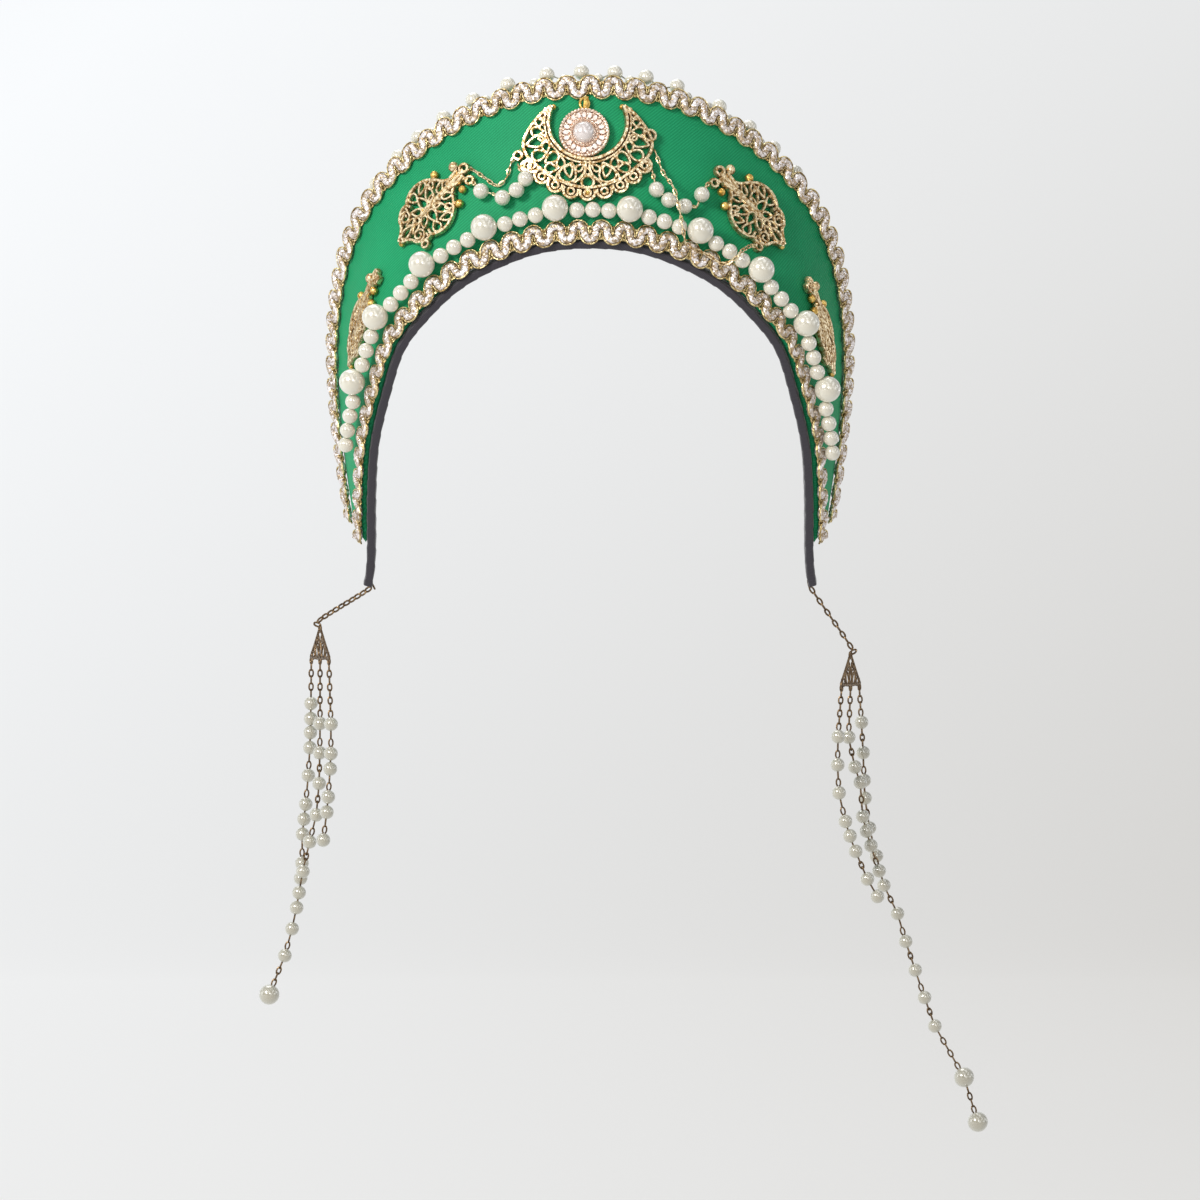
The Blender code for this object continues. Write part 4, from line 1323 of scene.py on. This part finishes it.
class HEADBAND_OT_crescent(bpy.types.Operator):
    """Make the pierced crescent in the middle of the panel."""

    bl_idname = "headband.crescent"
    bl_label = "Crescent plate"

    def execute(self, context):
        plate = Plate(draped(*CRESCENT_CENTRE), sizes().filigree_wire)
        end = CRESCENT_END
        plate.line(arc(0, 0, OPENING, -end, end, 64), 1.0, 1.1)
        plate.line(arc(0, 0, OPENING + 1.4, 6.0 - end, end - 6.0, 58), 0.6, 0.9)
        edge = [polar(*spot) for spot in CRESCENT_EDGE]
        plate.line(curved([(-x, y) for x, y in reversed(edge[1:])] + edge), 0.95, 1.0)
        for spot in SCALLOPS:
            for side in (-1, 1) if spot.angle else (1,):
                angle = spot.angle * side
                x, y = polar(angle, spot.radius)
                turns = (angle - SCALLOP_HALF_TURN, angle + SCALLOP_HALF_TURN)
                plate.line(arc(x, y, SCALLOP_RADIUS, *turns, 14), 0.9, 1.0)
                plate.ring(*polar(angle, spot.radius + 0.2), 1.25, 10, 0.75, 0.85)
        for loop in CRESCENT_LOOPS:
            for side in (-1, 1):
                x, y = polar(loop.angle * side, loop.radius)
                drop = Drop(x, y, loop.length, loop.width, (loop.angle + loop.lean) * side)
                plate.drop(drop, 0.68, 0.85, steps=16)
        for side in (-1, 1):
            plate.line(curved(CRESCENT_ARM, side), 0.9, 1.0)
            plate.line(curved(CRESCENT_TAIL, side), 0.7, 0.85)
            plate.knob(*polar(end * side, TIPS), 1.15)
        plate.ring(0.0, -23.2, 2.3, 14, 0.8, 0.9)
        plate.ring(0.0, -19.2, 1.2, 10, 0.7, 0.8)
        plate.knob(0.2, -26.9, 1.2)
        for x, y, radius in CRESCENT_EYES:
            plate.ring(x, y, radius, 12, 0.8, 1.0)
        finish_piece(
            "crescent_filigree", plate.bm, [plated("pale_gold"), plated("yellow_gold")],
            "pale_gold", "crescent_plate",
        )
        return {"FINISHED"}


# Leaf plates, in mm from the middle of the plate, the stem up
Leaf = namedtuple("Leaf", "name x z turn mirror spread")
LEAVES = [
    Leaf("leaf_{}_left", -58.6, 15.4, -42.0, 1, 1.0),
    Leaf("leaf_{}_right", 60.1, 14.4, 42.0, -1, 1.0),
    Leaf("side_{}_left", -85.0, -27.5, -24.0, 1, 0.48),
    Leaf("side_{}_right", 86.5, -30.5, 24.0, -1, 0.46),
]
UPPER_LOBE = [
    (1.0, 13.0), (3.2, 9.8), (6.6, 7.6), (10.0, 4.6), (11.9, 0.5), (11.8, -3.6), (9.8, -6.9),
    (7.0, -6.6),
]
LOWER_LOBE = [(9.2, -6.9), (9.6, -9.6), (7.8, -12.6), (4.8, -14.0), (2.5, -15.8), (0.4, -18.8)]
LEAF_DROPS = [
    Drop(2.7, 7.4, 5.2, 2.6, -35), Drop(4.9, 2.6, 7.4, 3.4, -62), Drop(6.7, 5.2, 3.8, 2.2, -50),
    Drop(8.9, 1.4, 5.2, 3.0, 150), Drop(8.6, -3.5, 4.8, 3.6, 80), Drop(4.2, -2.0, 6.4, 3.4, -95),
    Drop(2.2, 2.0, 3.6, 1.9, -20), Drop(3.0, -6.2, 5.0, 3.0, -130), Drop(8.4, -9.4, 3.0, 2.4, 40),
    Drop(1.9, -10.4, 4.4, 2.4, -160),
]


class HEADBAND_OT_leaves(bpy.types.Operator):
    """Make the four pierced leaves beside the crescent and low on the sides."""

    bl_idname = "headband.leaves"
    bl_label = "Leaf plates"

    def execute(self, context):
        for leaf in LEAVES:
            finish_piece(
                leaf.name.format("filigree"), self.pierced_leaf(leaf),
                [plated("pale_gold"), plated("yellow_gold")], "pale_gold",
                leaf.name.format("plate"),
            )
        return {"FINISHED"}

    @staticmethod
    def pierced_leaf(leaf):
        """Outline, spine, loops, eyes and knobs of one leaf."""
        lay = draped(leaf.x, leaf.z, leaf.turn)

        def place(flat):
            return lay(Vector((flat.x * leaf.mirror * leaf.spread, flat.y, flat.z)))

        plate = Plate(place, sizes().filigree_wire)
        for side in (-1, 1):
            plate.line(curved(UPPER_LOBE, side), 0.9, 1.0)
            plate.line(curved(LOWER_LOBE, side), 0.9, 1.0)
            for drop in LEAF_DROPS:
                plate.drop(drop, 0.66, 0.85, side)
            plate.line(scroll(5.5 * side, -10.9, 3.1, 0.8, 0.0, 576.0 * side), 0.7, 1.0)
            plate.line([(6.8 * side, 7.0), (7.6 * side, 7.7), (8.6 * side, 8.4)], 0.9, 0.9)
            plate.knob(8.8 * side, 8.5, 1.7)
        plate.line([(0.0, 18.4), (0.3, 13.0), (0.0, 4.0), (0.0, -6.0)], 1.5, 1.0)
        plate.line(curved([(1.9, 17.0), (2.3, 13.5), (1.2, 9.5)]), 1.3, 1.2)
        plate.line(curved([(-1.8, 16.5), (-1.6, 13.0), (-0.6, 9.5)]), 1.0, 1.1)
        plate.drop(Drop(0.0, -13.6, 6.8, 3.6, 0.0), 0.8, 1.0, steps=16)
        plate.ring(0.0, -8.2, 1.5, 10, 0.7, 0.9)
        plate.ring(-0.3, 18.8, 1.7, 12, 0.9, 1.0)
        plate.ring(5.2, 17.4, 1.5, 12, 0.8, 1.0)
        plate.line(curved([(2.2, 15.6), (3.6, 16.6), (4.6, 17.0)]), 1.0, 1.0)
        plate.ring(10.6, -11.4, 1.4, 12, 0.8, 1.0)
        plate.knob(-4.2, 16.3, 2.1, 0)
        plate.knob(5.4, 13.0, 1.6)
        plate.knob(0.6, -18.6, 1.3)
        return plate.bm


# Medallion, in mm from its axis and above its back
MEDALLION_CENTRE = (-2.1, 43.0)
MEDALLION_SPINS = 56
MEDALLION_OUTLINE = [
    (0.0, 0.0), (9.2, 0.0), (9.7, 0.7), (9.5, 1.7), (9.0, 2.1), (8.5, 1.9), (8.3, 0.9), (5.6, 0.9),
    (5.4, 2.1), (5.0, 2.5), (4.5, 2.1), (4.3, 1.5), (0.0, 1.5),
]
BEADS_OUTSIDE = 42
BEADS_INSIDE = 28
HANGING_BAR = [(0.5, 8.9, 1.6), (0.7, 11.4, 2.3), (0.6, 13.9, 1.6)]
STONE_SHAPE = (1.5, 1.05, 1.0, 1.0)


def round_places(count, radius, height, start=0.0):
    """Angles and places of a number of things round the medallion's axis."""
    for step in range(count):
        turn = FULL_TURN * (step + start) / count
        yield turn, Vector((radius * math.cos(turn), radius * math.sin(turn), height)) * MM


class HEADBAND_OT_medallion(bpy.types.Operator):
    """Make the medallion: turned setting, beads, stones, pearl and hanging ring."""

    bl_idname = "headband.medallion"
    bl_label = "Medallion"

    def execute(self, context):
        middle, facing = seen_on_panel(*MEDALLION_CENTRE)
        stand = Matrix((*across_and_up(facing), facing)).transposed().to_4x4()
        stand.translation = middle + facing * PLATE_LIFT
        metals = [plated("rose_gold"), plated("yellow_gold")]
        for name, bm, materials, slot, nodes, angle in (
            ("medallion_setting", self.setting(), metals, "rose_gold", ["medallion"], 50.0),
            ("medallion_stones", self.stones(), [stone_glass()], "rose_gold", [], 10.0),
            ("medallion_pearl", self.pearl(), [lacquered("blush_pearl")], "ivory_pearl", [], 50.0),
        ):
            bm.transform(stand)
            finish_piece(name, bm, materials, slot, *nodes, smooth_angle=angle)
        return {"FINISHED"}

    @staticmethod
    def setting():
        """Turned metal with beaded rims, and the ring and bar above it."""
        bm = bmesh.new()
        verts = [bm.verts.new((radius * MM, 0.0, high * MM)) for radius, high in MEDALLION_OUTLINE]
        edges = [bm.edges.new(pair) for pair in zip(verts, verts[1:])]
        bmesh.ops.spin(
            bm, geom=verts + edges, cent=(0.0, 0.0, 0.0), axis=UPWARDS, angle=FULL_TURN,
            steps=MEDALLION_SPINS, use_merge=True,
        )
        bmesh.ops.remove_doubles(bm, verts=bm.verts, dist=MESH_MERGE)
        for count, radius, height, size_mm, start in (
            (BEADS_OUTSIDE, 9.0, 2.0, 0.6, 0.0),
            (BEADS_INSIDE, 5.0, 2.45, 0.4, 0.0),
            (sizes().stone_count, 8.0, 1.7, 0.4, 0.5),
        ):
            for _, spot in round_places(count, radius, height, start):
                ball(bm, spot, size_mm * MM, 8, 6)
        link(
            bm, Vector((0.0, 11.4 * MM, 1.0 * MM)), Vector((0.0, 1.0, 0.0)),
            Vector((0.25, 0.0, 1.0)), 5.6 * MM, 4.6 * MM, 0.6 * MM, 1, 18, 8,
        )
        route = smooth_route([Vector(spot) * MM for spot in HANGING_BAR], 0.7 * MM)
        swept(bm, route, UPWARDS, 0.95 * MM, 0.4 * MM, 8, material=1)
        return bm

    @staticmethod
    def stones():
        """Ring of small faceted stones."""
        bm = bmesh.new()
        for turn, spot in round_places(sizes().stone_count, 6.9, 1.55):
            place = Matrix.Translation(spot) @ Matrix.Rotation(turn, 4, "Z")
            bmesh.ops.create_cone(
                bm, cap_ends=True, cap_tris=False, segments=8, radius1=1.0 * MM, radius2=0.72 * MM,
                depth=1.1 * MM, matrix=place @ Matrix.Diagonal(STONE_SHAPE),
            )
        return bm

    @staticmethod
    def pearl():
        """Slightly flattened pearl in the middle."""
        bm = bmesh.new()
        ball(bm, Vector((0.0, 0.0, 2.1 * MM)), 4.2 * MM, 32, 20, squash=0.86)
        return bm


# Swags and fine chains on the panel. Each row is a corner: where a front view shows it across and
# up, its lift off the panel and, for a swag, the radius of the bead there, all in mm
SWAGS = {
    "left": [
        (-27.2, 31.5, 1.4, 0), (-24.3, 26.2, 3.6, 3), (-27.7, 21.9, 3.6, 3), (-33.0, 19.0, 3.6, 3),
        (-37.2, 20.6, 2.6, 0), (-41.1, 21.5, 3.6, 3), (-44.2, 24.9, 2.6, 0),
    ],
    "right": [
        (23.4, 29.5, 1.4, 0), (25.1, 22.1, 3.6, 3), (29.8, 18.1, 3.6, 3), (35.7, 15.8, 3.6, 3),
        (40.3, 15.5, 2.6, 0), (42.2, 20.2, 3.6, 3), (44.6, 24.5, 2.6, 0),
    ],
}
FINE_CHAINS = {
    "left": [
        (-26.4, 37.0, 1.2), (-29.6, 32.2, 1.2), (-31.5, 26.5, 1.3), (-35.0, 23.6, 1.3),
        (-39.0, 26.0, 1.3), (-43.0, 28.8, 1.3), (-46.2, 30.5, 1.3),
    ],
    "right": [
        (24.4, 37.0, 1.2), (27.6, 28.5, 2.4), (31.6, 22.6, 7.4), (33.8, 14.2, 8.0),
        (35.0, 7.8, 9.8), (36.9, 1.2, 7.2), (44.5, -2.6, 4.2), (50.2, -6.0, 6.0),
        (55.0, -3.8, 9.7), (57.4, -1.0, 8.8), (60.4, 0.8, 5.4), (62.4, 0.7, 3.0),
    ],
}
CHAIN_SPACING = 0.9 * MM
PIN_FROM = 0.95                     # share of a pearl's radius at which its pin comes out
TOUCHING = 1.4 * MM                 # gap below which pearls are joined by the bare pin
HANGING_WIRE = 1.1                  # the wire of swags and strands, in shares of the link wire


def beaded_chain(bm, knots, chain):
    """Pearls joined by eyes and links, or by their bare pins where they nearly touch."""
    wire = HANGING_WIRE * sizes().link_wire
    last = len(knots) - 1
    for i, (centre, radius) in enumerate(knots):
        if radius:
            pearl(bm, centre, radius, knots[min(i + 1, last)][0] - knots[max(i - 1, 0)][0])
    for (near, near_radius), (far, far_radius) in zip(knots, knots[1:]):
        along = (far - near).normalized()
        start = near + along * near_radius * PIN_FROM
        end = far - along * far_radius * PIN_FROM
        if (end - start).length < TOUCHING:
            points = [start, start.lerp(end, 0.5), end]
            swept(bm, points, along.orthogonal(), wire, wire, 6, material=1)
        else:
            chain_between(bm, [start, end], chain, wire, 1)


class HEADBAND_OT_swags(bpy.types.Operator):
    """Make the short pearl strings from the crescent to the leaves."""

    bl_idname = "headband.swags"
    bl_label = "Swags"

    def execute(self, context):
        for side, corners in SWAGS.items():
            knots = [
                (lifted_as_seen(x, z, lift * MM), bead * MM) for x, z, lift, bead in corners
            ]
            bm = bmesh.new()
            beaded_chain(bm, knots, SHORT)
            finish_piece(
                "swag_pearls_" + side, bm, [lacquered("ivory_pearl"), plated("pale_gold")],
                "ivory_pearl", "swag_" + side,
            )
        return {"FINISHED"}


class HEADBAND_OT_fine_chains(bpy.types.Operator):
    """Make the fine chains that hang beside the swags."""

    bl_idname = "headband.fine_chains"
    bl_label = "Fine chains"

    def execute(self, context):
        for side, corners in FINE_CHAINS.items():
            points = [lifted_as_seen(x, z, lift * MM) for x, z, lift in corners]
            bm = bmesh.new()
            chain_between(bm, smooth_route(points, CHAIN_SPACING), FINE, sizes().link_wire)
            finish_piece(
                "fine_chain_" + side, bm, [plated("pale_gold")], "pale_gold",
                "drape_chain_" + side,
            )
        return {"FINISHED"}


# Connectors at the sides, in mm and degrees: where a front view shows the middle of the foot, how
# deep it really is, and its turn
Connector = namedtuple("Connector", "side x z depth turn")
CONNECTORS = [
    Connector("left", -101.3, -156.6, 63, -22.0),
    Connector("right", 97.8, -166.6, 63, 22.0),
]
CONNECTOR_HEIGHT = 14.0
CONNECTOR_WIRE = 0.62
CONNECTOR_THICKNESS = 1.0 * MM
CONNECTOR_SIDE = [(-1.2, 6.0), (-4.6, 2.4), (-8.2, -1.2), (-11.5, -4.4)]
CONNECTOR_FOOT = [(-11.7, -4.6), (0.0, -5.1), (11.7, -4.6)]
CONNECTOR_DROPS = (Drop(4.4, -1.9, 6.4, 3.4, -28), Drop(8.6, -3.6, 4.2, 2.8, -62))
CONNECTOR_TOP = 7.6 * MM
HANGING_EYES = (-11.0, 0.0, 11.0)
END_CHAIN_WIRE = 1.25
CHAIN_LEAD = 2.5 * MM


def connector_place(connector):
    """Placement of a connector's flat pattern, its middle at the given spot."""
    foot = seen_at_depth(connector.x, connector.z, connector.depth)
    turn = math.radians(connector.turn)
    across = Vector((math.sin(turn), math.cos(turn), 0.0))
    facing = Vector((math.cos(turn), -math.sin(turn), 0.0)) * (1.0 if connector.x > 0.0 else -1.0)

    def place(flat):
        up = UPWARDS * (flat.y + 0.5 * CONNECTOR_HEIGHT * MM)
        return foot + across * flat.x + up + facing * flat.z

    return place


class HEADBAND_OT_connectors(bpy.types.Operator):
    """Make the connectors and the chains that carry them."""

    bl_idname = "headband.connectors"
    bl_label = "Connectors"

    def execute(self, context):
        brass = [plated("dark_brass")]
        for connector in CONNECTORS:
            place = connector_place(connector)
            finish_piece(
                "connector_filigree_" + connector.side, self.pierced_fan(place), brass,
                "dark_brass", "side_connector_" + connector.side,
            )
            bm = bmesh.new()
            route = self.chain_route(1.0 if connector.side == "right" else -1.0, place)
            chain_between(bm, route, HEAVY, END_CHAIN_WIRE * sizes().link_wire)
            finish_piece(
                "end_links_" + connector.side, bm, brass, "dark_brass",
                "end_chain_" + connector.side,
            )
        return {"FINISHED"}

    @staticmethod
    def pierced_fan(place):
        """Outline, loops and eyes of one connector."""
        wire = CONNECTOR_WIRE * sizes().filigree_wire
        plate = Plate(place, wire, 0.5 * CONNECTOR_THICKNESS)
        for side in (-1, 1):
            plate.line(curved(CONNECTOR_SIDE, side), 0.9, 0.8)
            for drop in CONNECTOR_DROPS:
                plate.drop(drop, 0.7, 0.7, side)
            plate.line(scroll(2.6 * side, 2.6, 1.9, 0.5, 0.0, 468.0 * side), 0.7, 0.7)
        plate.line(curved(CONNECTOR_FOOT), 1.0, 0.8)
        plate.drop(Drop(0.0, -1.4, 6.6, 3.4, 0.0), 0.8, 0.8, steps=16)
        plate.ring(0.0, 6.6, 1.3, 10, 0.7, 0.7)
        for x in HANGING_EYES:
            plate.ring(x, -6.1, 1.2, 10, 0.7, 0.7)
        return plate.bm

    @staticmethod
    def chain_route(side, place):
        """Way of the chain from the end of the band down to a connector's upper eye."""
        centre = band_middle(side * BAND_REACH)[0]
        before = band_middle(side * (BAND_REACH - SECTION_STEP))[0]
        along = (centre - before).normalized()
        top = place(Vector((0.0, CONNECTOR_TOP, 0.5 * CONNECTOR_THICKNESS)))
        corners = [centre, centre + along * CHAIN_LEAD, top + UPWARDS * CHAIN_LEAD, top]
        return smooth_route(corners, CHAIN_SPACING)


# Strands, in mm: where each hangs from its connector, points as a front view shows them with
# their real depth, how low each pearl is seen, and how many of the last pearls are large
STRAND_PEARL = 2.75 * MM
END_PEARL = 4.0 * MM
STRAND_SPACING = 0.5 * MM
Strand = namedtuple("Strand", "side spot eye corners pearls ends")
STRANDS = [
    Strand(
        "left", "back", 11.0,
        [
            (-105.2, -171.9, 74), (-105.6, -188.1, 74), (-106.7, -205.1, 75), (-108.4, -220.9, 76),
            (-108.6, -231.9, 76), (-109.3, -239.5, 76),
        ],
        [-171.6, -177.2, -182.8, -188.4, -198.9, -209.8, -215.4, -221.0, -231.9, -237.8],
        0,
    ),
    Strand(
        "left", "middle", 0.0,
        [
            (-101.8, -185.5, 63), (-102.4, -207.4, 64), (-104.1, -217.9, 65), (-107.1, -229.2, 66),
            (-109.7, -243.0, 67), (-111.2, -251.5, 67), (-115.1, -266.9, 68), (-122.4, -285.0, 68),
        ],
        [-179.0, -190.4, -201.7, -213.6, -224.1, -235.2, -243.0, -248.6, -256.4, -266.9, -281.6],
        1,
    ),
    Strand(
        "left", "front", -11.0,
        [(-97.6, -185.5, 52), (-98.8, -208.1, 53), (-101.0, -227.0, 54)],
        [-179.6, -190.6, -196.2, -207.0, -212.6, -223.3],
        0,
    ),
    Strand(
        "right", "back", 11.0,
        [
            (103.0, -190.0, 74), (103.7, -207.4, 75), (105.4, -218.7, 76), (108.0, -229.2, 77),
            (110.8, -240.3, 77), (115.9, -250.7, 78), (119.1, -261.6, 78), (126.1, -282.4, 79),
            (130.0, -293.2, 79), (141.0, -312.5, 80), (147.4, -333.6, 80),
        ],
        [
            -178.9, -190.0, -200.9, -207.4, -218.7, -229.2, -240.3, -250.7, -261.6, -272.0, -282.4,
            -293.2, -312.5, -329.5,
        ],
        2,
    ),
    Strand(
        "right", "middle", 0.0,
        [
            (97.5, -184.4, 63), (99.9, -195.7, 64), (102.2, -202.9, 65), (102.8, -214.1, 66),
            (105.6, -224.3, 67), (109.6, -236.6, 68),
        ],
        [-184.4, -195.7, -201.6, -214.1, -219.7, -225.3, -234.6],
        0,
    ),
    Strand(
        "right", "front", -11.0,
        [
            (93.4, -188.0, 52), (93.9, -205.5, 53), (96.3, -216.2, 54), (99.8, -226.6, 55),
            (104.4, -237.5, 57), (109.6, -246.5, 58),
        ],
        [-184.0, -194.8, -205.5, -216.2, -221.8, -227.4, -237.8, -244.6],
        0,
    ),
]


class HEADBAND_OT_strands(bpy.types.Operator):
    """Make the six hanging strands of pearls and links."""

    bl_idname = "headband.strands"
    bl_label = "Strands"

    def execute(self, context):
        places = {connector.side: connector_place(connector) for connector in CONNECTORS}
        low = -0.5 * CONNECTOR_HEIGHT * MM
        for strand in STRANDS:
            eye = Vector((strand.eye * MM, low, 0.5 * CONNECTOR_THICKNESS))
            start = places[strand.side](eye)
            corners = [start] + [seen_at_depth(*corner) for corner in strand.corners]
            route = smooth_route(corners, STRAND_SPACING)
            knots = [(start, 0.0)]
            for i, z in enumerate(strand.pearls):
                large = i >= len(strand.pearls) - strand.ends
                knots.append((self.at_height(route, z), END_PEARL if large else STRAND_PEARL))
            bm = bmesh.new()
            beaded_chain(bm, knots, LONG)
            name = f"strand_{strand.side}_{strand.spot}"
            finish_piece(
                "pearl_" + name, bm, [lacquered("strand_pearl"), plated("dark_brass")],
                "ivory_pearl", name,
            )
        return {"FINISHED"}

    @staticmethod
    def at_height(route, z):
        """Point of a route that a front view shows z mm up."""
        return min(route, key=lambda point: abs(as_seen(point, 2) - z * MM))


# Stage, in metres
FLOOR = -0.42
WALL = 2.2
STAGE_HALF = 2.5
SWEEP_RADIUS = 0.6
SWEEP_STEPS = 16
WALL_HEIGHT = 1.6
STAGE_GLOW = 0.94
STAGE_FALL = (0.46, 0.0, -0.53)     # which way the backdrop's painted shade grows, and where it starts
STAGE_START = 0.4
LENS = 127.3
SENSOR = 36.0
LIT_SPOT = (0.0, 0.0, -0.1)


def area_light(name, spot, across, power, tint=(1.0, 1.0, 1.0)):
    """Soft square light that faces the headband."""
    data = bpy.data.lights.new(name, "AREA")
    data.shape = "SQUARE"
    data.size = across
    data.energy = power
    data.color = tint
    lamp = bpy.data.objects.new(name, data)
    lamp.location = spot
    lamp.rotation_euler = (Vector(LIT_SPOT) - Vector(spot)).to_track_quat("-Z", "Y").to_euler()
    bpy.context.scene.collection.objects.link(lamp)


def new_verts(items):
    """The vertices among an operator's new parts."""
    return [item for item in items if isinstance(item, bmesh.types.BMVert)]


class HEADBAND_OT_stage(bpy.types.Operator):
    """Make the floor and backdrop, the lights and the camera."""

    bl_idname = "headband.stage"
    bl_label = "Stage"

    def execute(self, context):
        self.sweep()
        self.world(context)
        area_light("key", (-1.0, -1.35, 0.6), 0.5, 20.0, (1.0, 0.985, 0.96))
        area_light("front", (0.25, -1.7, 0.3), 0.3, 1.6)
        area_light("top", (-0.2, 0.5, 1.2), 0.9, 6.0)
        data = bpy.data.cameras.new("camera")
        data.lens = LENS
        data.sensor_width = SENSOR
        data.sensor_fit = "HORIZONTAL"
        camera = bpy.data.objects.new("camera", data)
        camera.location = EYE
        camera.rotation_euler = (0.25 * FULL_TURN, 0.0, 0.0)
        context.scene.collection.objects.link(camera)
        context.scene.camera = camera
        context.scene.view_settings.view_transform = "Standard"
        return {"FINISHED"}

    @staticmethod
    def sweep():
        """Floor that curves up into a backdrop."""
        bm = bmesh.new()
        back = WALL - SWEEP_RADIUS
        verts = [bm.verts.new((-STAGE_HALF, y, FLOOR)) for y in (-STAGE_HALF, back)]
        bm.edges.new(verts)
        made = bmesh.ops.spin(
            bm, geom=[verts[1]], cent=(0.0, back, FLOOR + SWEEP_RADIUS), axis=(1.0, 0.0, 0.0),
            angle=0.25 * FULL_TURN, steps=SWEEP_STEPS, use_merge=False,
        )
        rise = bmesh.ops.extrude_vert_indiv(bm, verts=new_verts(made["geom_last"]))
        bmesh.ops.translate(bm, verts=rise["verts"], vec=UPWARDS * WALL_HEIGHT)
        made = bmesh.ops.extrude_edge_only(bm, edges=bm.edges[:])
        bmesh.ops.translate(bm, verts=new_verts(made["geom"]), vec=(2.0 * STAGE_HALF, 0.0, 0.0))
        bmesh.ops.recalc_face_normals(bm, faces=bm.faces)
        mesh = bpy.data.meshes.new("backdrop")
        bm.to_mesh(mesh)
        bm.free()
        mesh.shade_smooth()
        # The backdrop glows: its glow is painted pale at the upper left and fades into painted shade
        # towards the lower right.
        material, tree, shader = start_material(
            "stage", Base_Color=(0.1, 0.1, 0.1, 1.0), Roughness=0.9, Emission_Strength=STAGE_GLOW
        )
        fall = add_node(tree, "VectorMath", {1: STAGE_FALL}, operation="DOT_PRODUCT")
        share = maths(tree, "ADD", {1: STAGE_START}, True)
        spot = add_node(tree, "TexCoord")
        join(tree, (spot, "Object", fall, 0), (fall, "Value", share, 0))
        shades = (solid(colours().stage), solid(colours().stage_shade))
        colour_mix(tree, (share, 0), *shades, shader, "Emission Color")
        mesh.materials.append(material)
        backdrop = bpy.data.objects.new("backdrop", mesh)
        bpy.context.scene.collection.objects.link(backdrop)

    @staticmethod
    def world(context):
        """Pale surroundings, dimmer as a light than they look, and patchy where metal mirrors them."""
        world = bpy.data.worlds.new("surroundings")
        world.use_nodes = True
        tree = world.node_tree
        glow = tree.nodes["Background"]
        glow.inputs["Color"].default_value = solid(colours().stage)
        rays = add_node(tree, "LightPath")
        spot = add_node(tree, "TexCoord")
        patches = add_node(tree, "TexNoise", {"Scale": 2.6, "Detail": 1.0})
        contrast = maths(tree, "MULTIPLY_ADD", {1: 9.0, 2: -4.1})
        dimmest = maths(tree, "MAXIMUM", {1: 0.1})
        mirrored = maths(tree, "MULTIPLY")
        seen = maths(tree, "MULTIPLY_ADD", {1: 0.65, 2: 0.3})
        strength = maths(tree, "ADD")
        join(
            tree, (spot, "Generated", patches, "Vector"), (patches, "Fac", contrast, 0),
            (contrast, 0, dimmest, 0), (dimmest, 0, mirrored, 0),
            (rays, "Is Glossy Ray", mirrored, 1), (rays, "Is Camera Ray", seen, 0),
            (mirrored, 0, strength, 0), (seen, 0, strength, 1), (strength, 0, glow, "Strength"),
        )
        context.scene.world = world


class HEADBAND_PT_panel(bpy.types.Panel):
    """Lists the pieces, the sizes and the colours."""

    bl_label = "Crescent headband"
    bl_idname = "HEADBAND_PT_panel"
    bl_space_type = "VIEW_3D"
    bl_region_type = "UI"
    bl_category = "Headband"

    def draw(self, context):
        layout = self.layout
        for operator in OPERATORS:
            layout.operator(operator.bl_idname)
        for group in (context.scene.headband_sizes, context.scene.headband_colours):
            box = layout.box()
            for name in group.__annotations__:
                box.prop(group, name)


OPERATORS = (
    HEADBAND_OT_stage,
    HEADBAND_OT_panel,
    HEADBAND_OT_band,
    HEADBAND_OT_braids,
    HEADBAND_OT_pearl_rows,
    HEADBAND_OT_rim_pearls,
    HEADBAND_OT_crescent,
    HEADBAND_OT_medallion,
    HEADBAND_OT_leaves,
    HEADBAND_OT_swags,
    HEADBAND_OT_fine_chains,
    HEADBAND_OT_connectors,
    HEADBAND_OT_strands,
)
CLASSES = (HeadbandSizes, HeadbandColours, *OPERATORS, HEADBAND_PT_panel)


def register():
    """Register the classes and the sizes and colours."""
    for item in CLASSES:
        bpy.utils.register_class(item)
    bpy.types.Scene.headband_sizes = PointerProperty(type=HeadbandSizes)
    bpy.types.Scene.headband_colours = PointerProperty(type=HeadbandColours)


def unregister():
    """Remove what register added."""
    del bpy.types.Scene.headband_colours
    del bpy.types.Scene.headband_sizes
    for item in reversed(CLASSES):
        bpy.utils.unregister_class(item)


def main():
    """Make every piece."""
    register()
    for operator in OPERATORS:
        group, name = operator.bl_idname.split(".")
        getattr(getattr(bpy.ops, group), name)()


if __name__ == "__main__":
    main()
